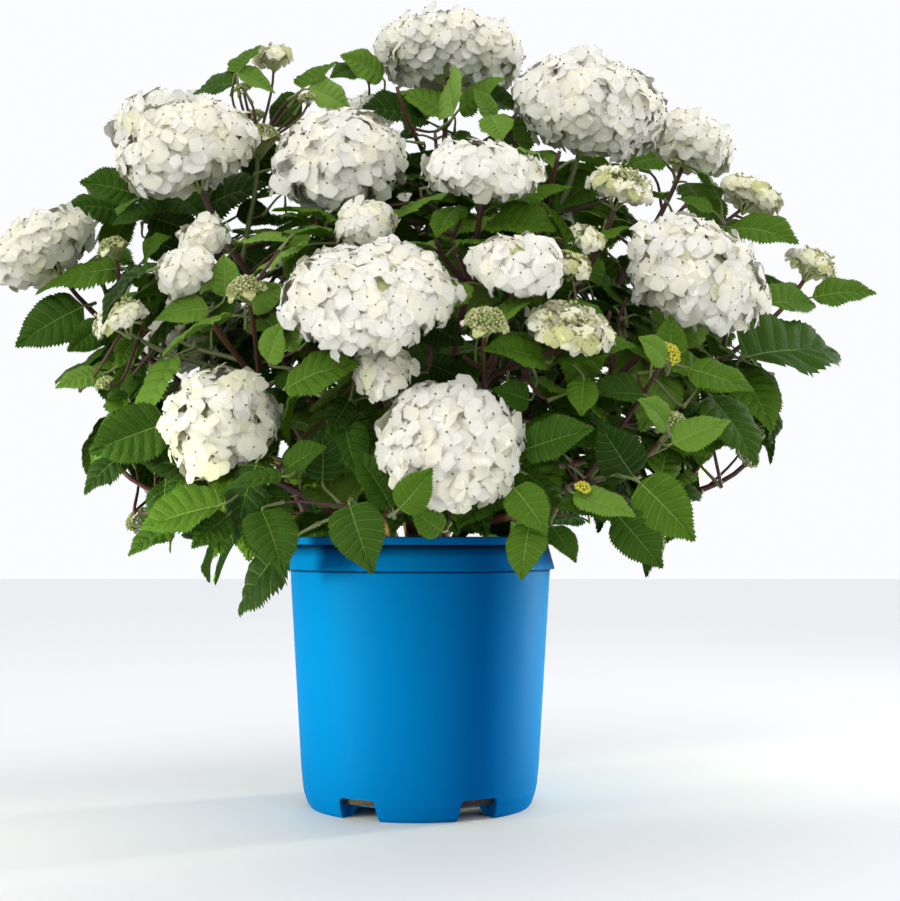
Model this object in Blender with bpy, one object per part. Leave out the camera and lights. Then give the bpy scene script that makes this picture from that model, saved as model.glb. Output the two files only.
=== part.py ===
"""White mophead hydrangea standing in its blue nursery pot.

Metres, +Z up. The origin is on the ground under the middle of the pot, and the
plant's front faces -Y. Canes rise from the potting mix, side boughs spring from
the canes, and each limb carries one mass of stems, leaves and flower heads that
keeps to its own cone of space. Blossom is fused to the stem that bears it.
"""
import math
import random
from collections import namedtuple

import bmesh
import bpy
from mathutils import Matrix, Quaternion, Vector
from mathutils.bvhtree import BVHTree

# ---------------------------------------------------------------- clearances
GAP = 0.0003                 # between neighbours that touch
UP = Vector((0, 0, 1))

# ---------------------------------------------------------------- nursery pot
POT_HEIGHT = 0.240
LIP_RADIUS = 0.1240
LIP_HEIGHT = 0.0078
BAND_RADIUS = 0.1222         # the plain collar under the lip
BAND_HEIGHT = 0.0290         # from the top of the pot to the collar's foot
BODY_TOP_RADIUS = 0.1186
BODY_FOOT_RADIUS = 0.1070
HEEL_HEIGHT = 0.034          # where the wall starts to round in
HEEL_RADIUS = 0.1010         # just above the ground
FOOT_OUTER = 0.0985
FOOT_INNER = 0.0880
POT_WALL = 0.0020
BASE_UNDERSIDE = 0.0095      # the base panel stands this far off the ground
NOTCH_COUNT = 6
NOTCH_WIDTH = 0.038
NOTCH_HEIGHT = 0.0185
NOTCH_CORNER = 0.004         # cut off its two upper corners
NOTCH_LEAN = 0.0015          # each side leans in by this
NOTCH_TURN = 30              # degrees from the front to the first drain notch
POT_SEGMENTS = 32

# ---------------------------------------------------------------- potting mix
MIX_TOP = 0.214
MIX_CROWNING = 0.004         # the mix is a little higher round the canes
MIX_SHOULDER = 0.006         # and falls this much to the wall
MIX_SEGMENTS = 20
SMOOTH_ANGLE = 28            # degrees: sharper edges stay crisp

# ---------------------------------------------------------------- limbs
CROWN_ROOT = Vector((0, 0, 0.215))   # every space is a cone from here
CANE_FOOT_RING = 0.052       # the outermost canes stand this far from the middle
CANE_RADIUS = 0.0058
CANE_FLARE = 1.45            # root flare at the mix, as a factor
FLARE_HEIGHT = 0.006
LIMB_TIP_RADIUS = 0.0034
BOUGH_RADIUS = 0.0044
LIMB_STEPS = 5               # points along a limb's curve
LIMB_SWAY = 0.35             # handle of a limb's or stem's curve, as a part of its length
CANE_SIDES = 6
BOUGH_SIDES = 5
LOWEST_BOUGH = 0.234
BOUGH_CLEAR = 0.0012         # between a bough and the limbs it passes
ENTRY = 0.47                 # a limb ends at this part of its mass's reach
LOWEST_ENTRY = 19            # degrees: limbs clear the pot's rim

# ---------------------------------------------------------------- leaves and stems
STEM_RADIUS = 0.0030
TWIG_RADIUS = 0.0024
NODE_SPACING = 0.060         # between pairs of leaves
BLADE = 0.122                # a full leaf's blade
BLADE_HALF_WIDTH = 0.38      # as a part of its length
PETIOLE = 0.024
LEAF_THICKNESS = 0.0018
LEAF_TRIES = 14
LEAF_STRAY = 0.045           # a blade may hang this far past its wall where it meets nothing
LEAF_CLEAR = 0.0006          # round a leaf, and round the limbs it passes
RIM_CLEAR = 0.001            # round the pot's rim
LOWEST_LEAF = 0.176
LOWEST_TWIG = 0.250
LARGE_HEAD = 0.056           # smaller heads are plain buds
LEAF_COUNT = 272
PAIRS = 4
FIRST_NODE = 0.018           # from a stem's tip or a head's foot to its first pair
LAST_NODE = 0.012
FEWEST_LEAVES = 7
TWIG_TURNS = 8               # ways round a space's middle that are measured
TWIG_TRIES = 8
WIDEST_SPACE = 0.7           # radians from its middle
ROOM_STEP = 0.02
TWIG_SPREAD = 0.045          # a space this much wider bears one more twig
WALL_STEPS = 20              # places tried for the wall between two spaces
WALL_CLEAR = 0.012           # a head needs no more room than this to its wall

# ---------------------------------------------------------------- colours
POT_BLUE = (0.005, 0.145, 0.40)
MIX_BROWN = (0.045, 0.026, 0.016)
CANE_TAN = (0.20, 0.12, 0.06)
STEM_RED = (0.11, 0.035, 0.02)
LEAF_GREEN = (0.03, 0.085, 0.012)

Head = namedtuple("Head", "azimuth elevation reach width depth")
Shoot = namedtuple("Shoot", "limb azimuth elevation heads")

# Azimuth is in degrees round from the front, elevation in degrees above level,
# reach and the head's width and depth in metres. The first two numbers of a
# shoot are the middle of its space, and its first head ends the main stem.
FRONT_SHOOTS = (
    Shoot("cane", -7, 35, (Head(-7, 37, 0.339, 0.136, 0.074), Head(-5, 29, 0.306, 0.050, 0.034))),
    Shoot("cane", 5, 15, (Head(5.5, 18, 0.297, 0.112, 0.086),)),
    Shoot("cane", -34, 18, (Head(-34, 23, 0.290, 0.096, 0.084),)),
    Shoot("cane", 51, 38, (Head(51, 39, 0.370, 0.124, 0.094),)),
    Shoot("cane", 62, 68, (Head(62, 67, 0.433, 0.138, 0.096),)),
    Shoot("cane", 155, 84, (Head(150, 84, 0.488, 0.150, 0.074), Head(-140, 79, 0.440, 0.058, 0.044))),
    Shoot("cane", -58, 57, (Head(-59, 57, 0.420, 0.124, 0.084), Head(-48, 49, 0.356, 0.046, 0.038),
                            Head(-66, 67, 0.405, 0.046, 0.034))),
    Shoot("bough", -20, 62, (Head(-26, 66, 0.368, 0.118, 0.094), Head(-12, 55, 0.334, 0.054, 0.044))),
    Shoot("bough", -95, 56, (Head(-94, 59, 0.480, 0.094, 0.062), Head(-97, 50, 0.462, 0.042, 0.030))),
    Shoot("cane", -88, 36, (Head(-87, 40, 0.447, 0.104, 0.064), Head(-76, 45, 0.392, 0.028, 0.022))),
    Shoot("bough", 15, 57, (Head(15.5, 57, 0.376, 0.100, 0.052),)),
    Shoot("bough", 15, 33, (Head(16, 39, 0.360, 0.076, 0.044), Head(23, 31, 0.346, 0.066, 0.026),
                            Head(10, 30.5, 0.352, 0.032, 0.024))),
    Shoot("bough", 96, 53, (Head(98, 57, 0.474, 0.084, 0.060), Head(91, 48, 0.455, 0.062, 0.036))),
    Shoot("bough", -46, 38, (Head(-42, 41, 0.358, 0.052, 0.040), Head(-29, 38.5, 0.342, 0.030, 0.024),
                             Head(-58, 35, 0.349, 0.048, 0.034))),
    Shoot("bough", 42, 50, (Head(48, 54, 0.382, 0.058, 0.038), Head(34, 47, 0.352, 0.032, 0.024),
                            Head(29, 43, 0.342, 0.030, 0.024))),
    Shoot("bough", 87, 32, (Head(87, 37, 0.446, 0.050, 0.032),)),
    Shoot("bough", 39, 18, (Head(41, 20, 0.320, 0.026, 0.024), Head(39, 28, 0.345, 0.024, 0.022))),
    Shoot("bough", -66, 13, (Head(-66, 17, 0.290, 0.018, 0.018),)),
    Shoot("bough", 76, 13, (Head(74, 17, 0.310, 0.018, 0.018),)),
)

# The back of the crown goes on by rule: rings of shoots on the crown's ellipsoid.
CROWN_HALF = Vector((0.375, 0.358, 0.500))
CROWN_BOX = (0.392, 0.334)   # half of its width and of its depth
SKIRT_FOOT = 0.250           # how far the leaves spread at the height of the rim
SKIRT_SLOPE = 0.80           # how much farther for each metre above it
SKIRT_FRONT, SKIRT_BACK = 0.90, 1.16   # a place in front or behind counts as this much as far out
TIP_SPARE = 0.034            # a leaf's tip may stand this much farther out
WINDOW_MIDDLE, WINDOW_HALF = 0.027, 0.052   # across the front of the rim where no leaf hangs
WINDOW_SILL = 0.2445
BackRing = namedtuple("BackRing", "elevation first step count width limb")
BACK_RINGS = (
    BackRing(61, 134, 66, 2, 0.120, "cane"),
    BackRing(37, 119, 41, 4, 0.106, "bough"),
    BackRing(14, 126, 54, 3, 0.064, "bough"),
)
HEAD_SINK = 0.86             # a head's middle, as a part of the crown's radius
HEAD_LIFT = 0.7              # how far a head turns up from straight outward
HEAD_MARGIN = 1.06           # room a head takes beside a wall, as a factor
WALL_FIRST, WALL_SPAN = 0.25, 0.5    # where a wall may stand between two spaces
SIDE_SWING = (0, 9, -10)     # degrees from a back shoot's middle to its heads
SIDE_RISE = (3, -5, 4)
SIDE_SIZE = (1, 0.45, 0.3)
SIDE_REACH = (1, 0.97, 1.02)
HEAD_DEPTH = 0.66            # of a back head, as a part of its width


def heading(azimuth, elevation):
    """Unit vector of an azimuth round from the front and an elevation."""
    turn, rise = math.radians(azimuth), math.radians(elevation)
    return Vector((math.sin(turn) * math.cos(rise), -math.cos(turn) * math.cos(rise), math.sin(rise)))


def crown_radius(direction):
    """Distance from the crown's root to its ellipsoid along a direction."""
    return 1 / math.sqrt(sum((direction[i] / CROWN_HALF[i]) ** 2 for i in range(3)))


def back_shoots():
    """Shoots that close the crown behind, with a main head and smaller ones beside it."""
    chance = random.Random(41)
    shoots = []
    for ring in BACK_RINGS:
        for k in range(ring.count):
            azimuth = ring.first + k * ring.step + chance.uniform(-4, 4)
            elevation = ring.elevation + chance.uniform(-3, 3)
            heads = []
            for side in range(len(SIDE_SIZE)):
                swing = SIDE_SWING[side] / math.cos(math.radians(elevation))
                rise = SIDE_RISE[side]
                size = SIDE_SIZE[side] * ring.width * chance.uniform(0.85, 1.15)
                toward = heading(azimuth + swing, elevation + rise)
                reach = HEAD_SINK * crown_radius(toward) * SIDE_REACH[side]
                heads.append(Head(azimuth + swing, elevation + rise, reach, size, HEAD_DEPTH * size))
            shoots.append(Shoot(ring.limb, azimuth, elevation, tuple(heads)))
    return shoots


SHOOTS = FRONT_SHOOTS + tuple(back_shoots())


def head_middle(head):
    return CROWN_ROOT + heading(head.azimuth, head.elevation) * head.reach


def head_axis(head):
    """A head faces between outward and up."""
    return (heading(head.azimuth, head.elevation) + HEAD_LIFT * UP).normalized()


# ---------------------------------------------------------------- spaces
def head_margin(shoot, wall):
    """How far a shoot's heads stay to the inner side of a wall."""
    margins = []
    for head in shoot.heads:
        lean = wall.dot(head_axis(head))
        half = math.hypot(head.width / 2 * math.sqrt(1 - lean * lean), head.depth / 2 * lean)
        margins.append((head_middle(head) - CROWN_ROOT).dot(wall) - HEAD_MARGIN * half)
    return min(margins)


def fair_wall(shoot, other):
    """The plane through the crown's root that leaves both shoots' heads alike clear."""
    middle = heading(shoot.azimuth, shoot.elevation)
    away = heading(other.azimuth, other.elevation)
    axis = middle.cross(away).normalized()
    best = None
    for step in range(WALL_STEPS + 1):
        share = WALL_FIRST + WALL_SPAN * step / WALL_STEPS
        edge = Quaternion(axis, middle.angle(away) * share) @ middle
        wall = edge.cross(axis)
        worst = min(head_margin(shoot, wall), head_margin(other, -wall), WALL_CLEAR)
        score = worst - abs(share - 0.5) * 0.01
        if best is None or score > best[0]:
            best = (score, wall)
    return best[1]


def build_walls():
    """Every shoot's walls, one for each other shoot; both sides use the same plane."""
    walls = [[] for _ in SHOOTS]
    for i, shoot in enumerate(SHOOTS):
        for j in range(i + 1, len(SHOOTS)):
            wall = fair_wall(shoot, SHOOTS[j])
            walls[i].append(wall)
            walls[j].append(-wall)
    return walls


def may_reach(p, spare):
    """Leaves stay in the crown's box, draw in below like a bowl and leave the rim's front clear."""
    if abs(p.x) > CROWN_BOX[0] or abs(p.y) > CROWN_BOX[1] or p.z < LOWEST_LEAF:
        return False
    spread = math.hypot(p.x, p.y * (SKIRT_FRONT if p.y < 0 else SKIRT_BACK))
    if spread > SKIRT_FOOT + spare + SKIRT_SLOPE * (p.z - POT_HEIGHT):
        return False
    return p.y > 0 or p.z > WINDOW_SILL or abs(p.x - WINDOW_MIDDLE) > WINDOW_HALF


def leaf_may_stand(verts):
    return all(may_reach(p, TIP_SPARE if k == TIP_VERT else 0) for k, p in enumerate(verts))


def inside(points, walls, clear=GAP):
    return all((p - CROWN_ROOT).dot(wall) >= clear for p in points for wall in walls)


# ---------------------------------------------------------------- shapes
def bezier(start, leave, arrive, end, count):
    """Points along a cubic from start to end with the two handles given."""
    points = []
    for k in range(count):
        t = k / (count - 1)
        points.append(start * (1 - t) ** 3 + leave * 3 * t * (1 - t) ** 2
                      + arrive * 3 * t * t * (1 - t) + end * t ** 3)
    return points


def tangents(points):
    last = len(points) - 1
    return [(points[min(k + 1, last)] - points[max(k - 1, 0)]).normalized() for k in range(last + 1)]


def across(axis, turn):
    """A unit vector square to the axis, turned round it by an angle in radians."""
    side = axis.cross(UP) if abs(axis.z) < 0.95 else axis.cross(Vector((1, 0, 0)))
    return Quaternion(axis, turn) @ side.normalized()


def tube(points, radii, sides, first=None, last=None):
    """A closed many-sided tube through points; its end cuts may be given a direction."""
    directions = tangents(points)
    directions[0] = first or directions[0]
    directions[-1] = last or directions[-1]
    side = across(directions[0], 0.4)
    verts, faces = [], []
    for point, axis, radius in zip(points, directions, radii):
        side = (side - axis * side.dot(axis)).normalized()
        verts += [point + Quaternion(axis, 2 * math.pi * k / sides) @ side * radius for k in range(sides)]
    for ring in range(len(points) - 1):
        for k in range(sides):
            a, b = ring * sides + k, ring * sides + (k + 1) % sides
            faces.append((a, b, b + sides, a + sides))
    faces.append(tuple(reversed(range(sides))))
    faces.append(tuple(range(len(verts) - sides, len(verts))))
    return verts, faces


def arc_point(root, forward, face, length, curl, along, aside=0.0, lift=0.0):
    """A point on a blade that curls away from its face as it runs forward."""
    turn = curl * along
    run = length / curl * math.sin(turn)
    drop = length / curl * (1 - math.cos(turn))
    normal = face * math.cos(turn) + forward * math.sin(turn)
    return root + forward * run - face * drop + forward.cross(face) * aside + normal * lift


def leaf(stem_point, out, forward, face, petiole, length, curl, clear=0.0):
    """A petiole that opens into a pointed oval blade, its root sunk in the stem.
    The blade's own faces come first. The clearance makes it stouter all round."""
    base = stem_point + out * petiole
    half = BLADE_HALF_WIDTH * length + clear
    thick = LEAF_THICKNESS + 2 * clear

    def blade(along, aside=0.0, lift=0.0):
        return arc_point(base, forward, face, length, curl, along, aside, lift)

    side = forward.cross(face)
    root = stem_point - out * 0.0006
    rise, fine, broad = face * clear, 0.0008 + clear, 0.0022 + clear
    verts = [root + side * fine + rise, root - side * fine + rise, root - face * (0.0010 + clear)]
    verts += [blade(0.0, broad, clear), blade(0.0, -broad, clear), base - face * (0.0028 + clear)]
    fold = 0.06 * length
    verts += [blade(0.40, half, fold), blade(1.0 + clear / length), blade(0.40, -half, fold)]
    verts += [blade(0.46, 0, thick / 2), blade(0.46, 0, -thick / 2)]
    edge = [3, 6, 7, 8, 4]
    faces = [(a, b, 9) for a, b in zip(edge, edge[1:] + [3])]
    faces += [(b, a, 10) for a, b in zip(edge, edge[1:])] + [(5, 4, 10), (3, 5, 10)]
    faces += [(1, 0, 3, 4), (2, 1, 4, 5), (0, 2, 5, 3), (0, 1, 2)]
    return verts, faces


BLADE_FACES = 11
TIP_VERT = 7


def flower_head(head, chance):
    """A lumpy dome, rounder above than below, for a mophead or a bud."""
    form = bmesh.new()
    bmesh.ops.create_icosphere(form, subdivisions=2 if head.width > LARGE_HEAD else 1, radius=0.5)
    face_out = UP.rotation_difference(head_axis(head)).to_matrix()
    middle = head_middle(head)
    verts = []
    for vert in form.verts:
        spot = vert.co * (1 + chance.uniform(-0.06, 0.06))
        if spot.z < 0:
            spot.z *= 0.8
        sized = Vector((spot.x * head.width, spot.y * head.width, spot.z * head.depth))
        verts.append(middle + face_out @ sized)
    faces = [tuple(v.index for v in face.verts) for face in form.faces]
    form.free()
    return verts, faces


# ---------------------------------------------------------------- limbs
Limb = namedtuple("Limb", "name points radii sides first last")


def limb_entry(shoot):
    """Where a shoot's limb ends and its mass begins, and the way it points."""
    head = shoot.heads[0]
    raised = max(shoot.elevation, LOWEST_ENTRY)
    point = CROWN_ROOT + heading(shoot.azimuth, raised) * head.reach * ENTRY
    target = head_middle(head) - head_axis(head) * head.depth * 0.3
    return point, ((target - point).normalized() + 0.25 * head_axis(head)).normalized()


def overlaps(shape, others):
    """Whether a shape's faces cross those of any other."""
    tree = BVHTree.FromPolygons(*shape)
    return any(tree.overlap(other) for other in others)


def taper(radius):
    """Radii of a limb from its root to its tip."""
    fall = (radius - LIMB_TIP_RADIUS) / (LIMB_STEPS - 1)
    return [radius - fall * k for k in range(LIMB_STEPS)]


def grow_cane(name, shoot):
    """A cane from its flat cut on the potting mix to where it enters its mass."""
    tip, arrive = limb_entry(shoot)
    spread = (90 - shoot.elevation) / 75
    foot = heading(shoot.azimuth, 0) * CANE_FOOT_RING * spread
    foot.z = MIX_TOP + MIX_CROWNING + GAP
    length = (tip - foot).length
    lean = (UP + heading(shoot.azimuth, 0) * 0.35).normalized()
    leave = foot + lean * length * 0.4
    handle = tip - arrive * length * LIMB_SWAY
    points = [foot] + bezier(foot + UP * FLARE_HEIGHT, leave, handle, tip, LIMB_STEPS)
    radii = [CANE_RADIUS * CANE_FLARE] + taper(CANE_RADIUS)
    return Limb(name, points, radii, CANE_SIDES, UP, arrive)


def inflate(limb, clear=GAP / math.cos(math.pi / 6)):
    return tube(limb.points, [radius + clear for radius in limb.radii], *limb[3:])


def grow_bough(name, shoot, canes, limbs):
    """A bough from the side of the nearest cane that lets it pass clear."""
    tip, arrive = limb_entry(shoot)
    nearest = sorted(canes, key=lambda cane: (cane.points[-1] - tip).length)
    for cane in nearest:
        for start in (2, 3, 1):
            root = (cane.points[start] + cane.points[start + 1]) / 2
            along = (cane.points[start + 1] - cane.points[start]).normalized()
            leave = (along + (tip - root).normalized()).normalized()
            length = (tip - root).length
            sway = length * LIMB_SWAY
            points = bezier(root, root + leave * sway, tip - arrive * sway, tip, LIMB_STEPS)
            bough = Limb(name, points, taper(BOUGH_RADIUS), BOUGH_SIDES, leave, arrive)
            others = [BVHTree.FromPolygons(*inflate(limb, BOUGH_CLEAR)) for limb in limbs if limb is not cane]
            if not overlaps(tube(*bough[1:]), others) and points[1].z > LOWEST_BOUGH:
                return bough, cane
    raise ValueError("no way clear for " + name)


# ---------------------------------------------------------------- growth of the masses
def tree_of(*shapes):
    """One search tree of the faces of several shapes."""
    verts, faces = [], []
    for shape in shapes:
        first = len(verts)
        verts += shape[0]
        faces += [tuple(first + k for k in face) for face in shape[1]]
    return BVHTree.FromPolygons(verts, faces)


class Mass:
    """One shoot's stems, leaves and heads, in its own space."""

    def __init__(self, number, walls, limb_trees):
        self.shoot = SHOOTS[number]
        self.middle = heading(self.shoot.azimuth, self.shoot.elevation)
        self.chance = random.Random(700 + number)
        self.walls = walls
        self.other_limbs = [tree for key, tree in limb_trees.items() if key != number]
        self.stems, self.heads, self.leaves = [], [], []
        self.lines, self.leafy = [], set()

    def room(self, turn):
        """The angle from the middle of the space to its wall, one way round."""
        axis = self.middle.cross(across(self.middle, turn))
        angle = 0.0
        while angle < WIDEST_SPACE:
            way = Quaternion(axis, angle) @ self.middle
            if way.z < 0 or not inside([CROWN_ROOT + way], self.walls, 0):
                break
            angle += ROOM_STEP
        return angle

    def toward(self, turn, share):
        """A direction part of the way from the middle of the space to its wall."""
        axis = self.middle.cross(across(self.middle, turn))
        return Quaternion(axis, share * self.room(turn)) @ self.middle

    def breadth(self):
        turns = [2 * math.pi * k / TWIG_TURNS for k in range(TWIG_TURNS)]
        return sum(self.room(turn) for turn in turns) / TWIG_TURNS

    def add_stem(self, start, leave, target, arrive, radius):
        """A stem from start to target, returned as its points, or None if it won't fit."""
        length = (target - start).length
        count = 4 if radius == STEM_RADIUS else 3
        sway = length * LIMB_SWAY
        points = bezier(start, start + leave * sway, target - arrive * sway, target, count)
        radii = [radius * (1 - 0.3 * k / (count - 1)) for k in range(count)]
        shape = tube(points, radii, 3, leave)
        tree = tree_of(shape)
        if not inside(shape[0], self.walls) or any(tree.overlap(other) for other in self.other_limbs):
            return None
        self.stems.append(shape)
        self.lines.append(points)
        return points

    def side_stem(self, end, arrive):
        """A stem that leaves the main one part of the way along."""
        trunk = self.lines[0]
        root = trunk[1].lerp(trunk[2], self.chance.uniform(0.1, 0.9))
        away = (end - root).normalized()
        return self.add_stem(root, away, end, (away + arrive).normalized(), TWIG_RADIUS)

    def grow_stems(self):
        entry, leave = limb_entry(self.shoot)
        heads = self.shoot.heads
        self.heads = [flower_head(head, self.chance) for head in heads]
        ends = [head_middle(head) - head_axis(head) * head.depth * 0.15 for head in heads]
        self.add_stem(entry + leave * GAP, leave, ends[0], head_axis(heads[0]), STEM_RADIUS)
        for head, end in zip(heads[1:], ends[1:]):
            self.side_stem(end, head_axis(head))
        wanted = round(self.breadth() * heads[0].reach / TWIG_SPREAD) + 2 - len(heads)
        for k in range(max(1, wanted)):
            for attempt in range(TWIG_TRIES):
                turn = 2.4 * k + 1.1 * attempt + self.chance.uniform(-0.4, 0.4)
                aim = self.toward(turn, self.chance.uniform(0.45, 0.75))
                end = CROWN_ROOT + aim * heads[0].reach * self.chance.uniform(0.80, 0.94)
                if end.z > LOWEST_TWIG and self.side_stem(end, aim) is not None:
                    break
        self.first_turns = [self.chance.uniform(0, math.pi) for _ in self.lines]
        self.body = tree_of(*(self.stems + self.heads))


class Crown:
    """All the masses; leaves are set pair by pair from the outside of the crown in."""

    def __init__(self, limb_trees, pot_tree):
        walls = build_walls()
        self.masses = [Mass(number, walls[number], limb_trees) for number in range(len(SHOOTS))]
        for mass in self.masses:
            mass.grow_stems()
        self.hard = list(limb_trees.values()) + [pot_tree]
        self.set_leaves = []
        breadths = [mass.breadth() ** 2 for mass in self.masses]
        self.quota = [max(FEWEST_LEAVES, round(LEAF_COUNT * b / sum(breadths))) for b in breadths]

    def leaf_fits(self, mass, pose):
        verts, faces = leaf(*pose, clear=LEAF_CLEAR)
        if not inside(verts, mass.walls, -LEAF_STRAY) or not leaf_may_stand(verts):
            return False
        whole = BVHTree.FromPolygons(verts, faces)
        blade = BVHTree.FromPolygons(verts, faces[:BLADE_FACES])
        if any(whole.overlap(tree) for tree in self.hard) or blade.overlap(mass.body):
            return False
        if any(whole.overlap(other.body) for other in self.masses if other is not mass):
            return False
        middle = verts[9]
        for owner, spot, other_whole, other_blade in self.set_leaves:
            if (spot - middle).length < 2 * BLADE:
                if (blade.overlap(other_blade) if owner is mass else whole.overlap(other_whole)):
                    return False
        self.set_leaves.append((mass, middle, whole, blade))
        return True

    def add_leaf(self, mass, point, axis, turn, size):
        """A leaf from a stem's node, tried at other turns and sizes until it fits."""
        for attempt in range(LEAF_TRIES):
            chance = mass.chance
            swing = turn + chance.uniform(-0.3, 0.3) * (1 + attempt * 0.25)
            length = BLADE * size * (1 - 0.042 * attempt) * chance.uniform(0.92, 1.08)
            spread = across(axis, swing)
            out = (spread + axis * 0.55).normalized()
            sag = chance.uniform(0.10, 0.55)
            forward = (spread + axis * 0.25 - UP * sag).normalized()
            light = mass.middle * 0.4 + UP * 0.7
            face = (light - forward * light.dot(forward)).normalized()
            petiole = PETIOLE * size * chance.uniform(0.8, 1.3)
            pose = (point, out, forward, face, petiole, length, chance.uniform(0.45, 0.95))
            if self.leaf_fits(mass, pose):
                mass.leaves.append(leaf(*pose))
                return True
        return False

    def add_pair(self, mass, line, number):
        """The given pair of leaves of one stem, counted from its tip."""
        points = mass.lines[line]
        length = sum((b - a).length for a, b in zip(points, points[1:]))
        back = FIRST_NODE + number * NODE_SPACING
        if line == 0 or line < len(mass.heads):
            back += 0.25 * mass.shoot.heads[line].depth
        if back > length - LAST_NODE:
            return
        place = (1 - back / length) * (len(points) - 1)
        step = min(int(place), len(points) - 2)
        spot = points[step].lerp(points[step + 1], place - step)
        axis = (points[step + 1] - points[step]).normalized()
        size = (0.80 + 0.12 * number) * (1 if line == 0 else 0.88)
        turn = mass.first_turns[line] + number * math.pi / 2
        for half in (0, math.pi):
            shifted = spot + axis * mass.chance.uniform(-0.0015, 0.0015)
            if self.add_leaf(mass, shifted, axis, turn + half, size):
                mass.leafy.add(line)

    def grow_leaves(self):
        for number in range(PAIRS):
            for line in range(max(len(mass.lines) for mass in self.masses)):
                for mass, quota in zip(self.masses, self.quota):
                    if line < len(mass.lines) and len(mass.leaves) < quota:
                        self.add_pair(mass, line, number)
        for mass in self.masses:
            kept = [k for k in range(len(mass.stems)) if k < len(mass.heads) or k in mass.leafy]
            mass.stems = [mass.stems[k] for k in kept]


# ---------------------------------------------------------------- Blender objects
def material(name, colour, roughness):
    finish = bpy.data.materials.new(name)
    finish.use_nodes = True
    shader = finish.node_tree.nodes["Principled BSDF"]
    shader.inputs["Base Color"].default_value = (*colour, 1)
    shader.inputs["Roughness"].default_value = roughness
    shader.inputs["Metallic"].default_value = 0
    return finish


def mesh_object(name, shape, finish, home=None):
    mesh = bpy.data.meshes.new(name)
    mesh.from_pydata([tuple(v) for v in shape[0]], [], shape[1])
    mesh.materials.append(finish)
    thing = bpy.data.objects.new(name, mesh)
    (home or bpy.context.scene.collection).objects.link(thing)
    return thing


def apply_modifiers(thing):
    bpy.context.view_layer.update()
    seen = thing.evaluated_get(bpy.context.evaluated_depsgraph_get())
    made = bpy.data.meshes.new_from_object(seen)
    thing.modifiers.clear()
    thing.data = made


def keep_largest(mesh, tidy):
    """Triangles only, with sealed hollows and loose scraps dropped. Says whether
    the mesh is closed; a tidied one has its flat areas joined up first."""
    form = bmesh.new()
    form.from_mesh(mesh)
    bmesh.ops.remove_doubles(form, verts=form.verts, dist=0.000002)
    if tidy:
        bmesh.ops.dissolve_limit(form, angle_limit=math.radians(1.0), verts=form.verts, edges=form.edges)
    bmesh.ops.triangulate(form, faces=form.faces)
    waiting = set(form.verts)
    islands = []
    while waiting:
        island, queue = [], [waiting.pop()]
        while queue:
            vert = queue.pop()
            island.append(vert)
            for edge in vert.link_edges:
                other = edge.other_vert(vert)
                if other in waiting:
                    waiting.discard(other)
                    queue.append(other)
        islands.append(island)
    islands.sort(key=len)
    for island in islands[:-1]:
        bmesh.ops.delete(form, geom=island, context="VERTS")
    closed = all(len(edge.link_faces) == 2 for edge in form.edges)
    form.to_mesh(mesh)
    form.free()
    return closed


def fuse(name, mass, finish):
    """One solid from a mass's stems, heads and leaves."""
    parts = bpy.data.collections.new(name + "_parts")
    bpy.context.scene.collection.children.link(parts)
    trunk = mesh_object(name, mass.stems[0], finish)
    for k, shape in enumerate(mass.stems[1:] + mass.heads + mass.leaves):
        mesh_object(f"{name}_piece_{k}", shape, finish, parts)
    union = trunk.modifiers.new("fuse", "BOOLEAN")
    union.operation = "UNION"
    union.operand_type = "COLLECTION"
    union.collection = parts
    union.solver = "MANIFOLD"
    apply_modifiers(trunk)
    plain = trunk.data.copy()
    if not keep_largest(trunk.data, True):
        keep_largest(plain, False)
        trunk.data = plain
    for piece in list(parts.objects):
        bpy.data.objects.remove(piece)
    bpy.data.collections.remove(parts)
    return trunk


def turned(profile, segments):
    """A closed ring of quads turned round Z from a closed profile of (radius, z)."""
    verts, faces = [], []
    count = len(profile)
    for k in range(segments):
        turn = 2 * math.pi * k / segments
        verts += [Vector((r * math.sin(turn), -r * math.cos(turn), z)) for r, z in profile]
    for k in range(segments):
        near, far = k * count, (k + 1) % segments * count
        faces += [(near + i, far + i, far + (i + 1) % count, near + (i + 1) % count) for i in range(count)]
    return verts, faces


def merge_axis(thing):
    """Closes a turned shape whose profile runs along the axis."""
    form = bmesh.new()
    form.from_mesh(thing.data)
    bmesh.ops.remove_doubles(form, verts=form.verts, dist=0.00001)
    bmesh.ops.dissolve_degenerate(form, edges=form.edges, dist=0.00001)
    bmesh.ops.recalc_face_normals(form, faces=form.faces)
    form.to_mesh(thing.data)
    form.free()


def inner_radius(z):
    """Inside of the pot's wall at a height."""
    share = (z - HEEL_HEIGHT) / (POT_HEIGHT - BAND_HEIGHT - HEEL_HEIGHT)
    return BODY_FOOT_RADIUS + (BODY_TOP_RADIUS - BODY_FOOT_RADIUS) * min(1, share) - POT_WALL


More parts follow.
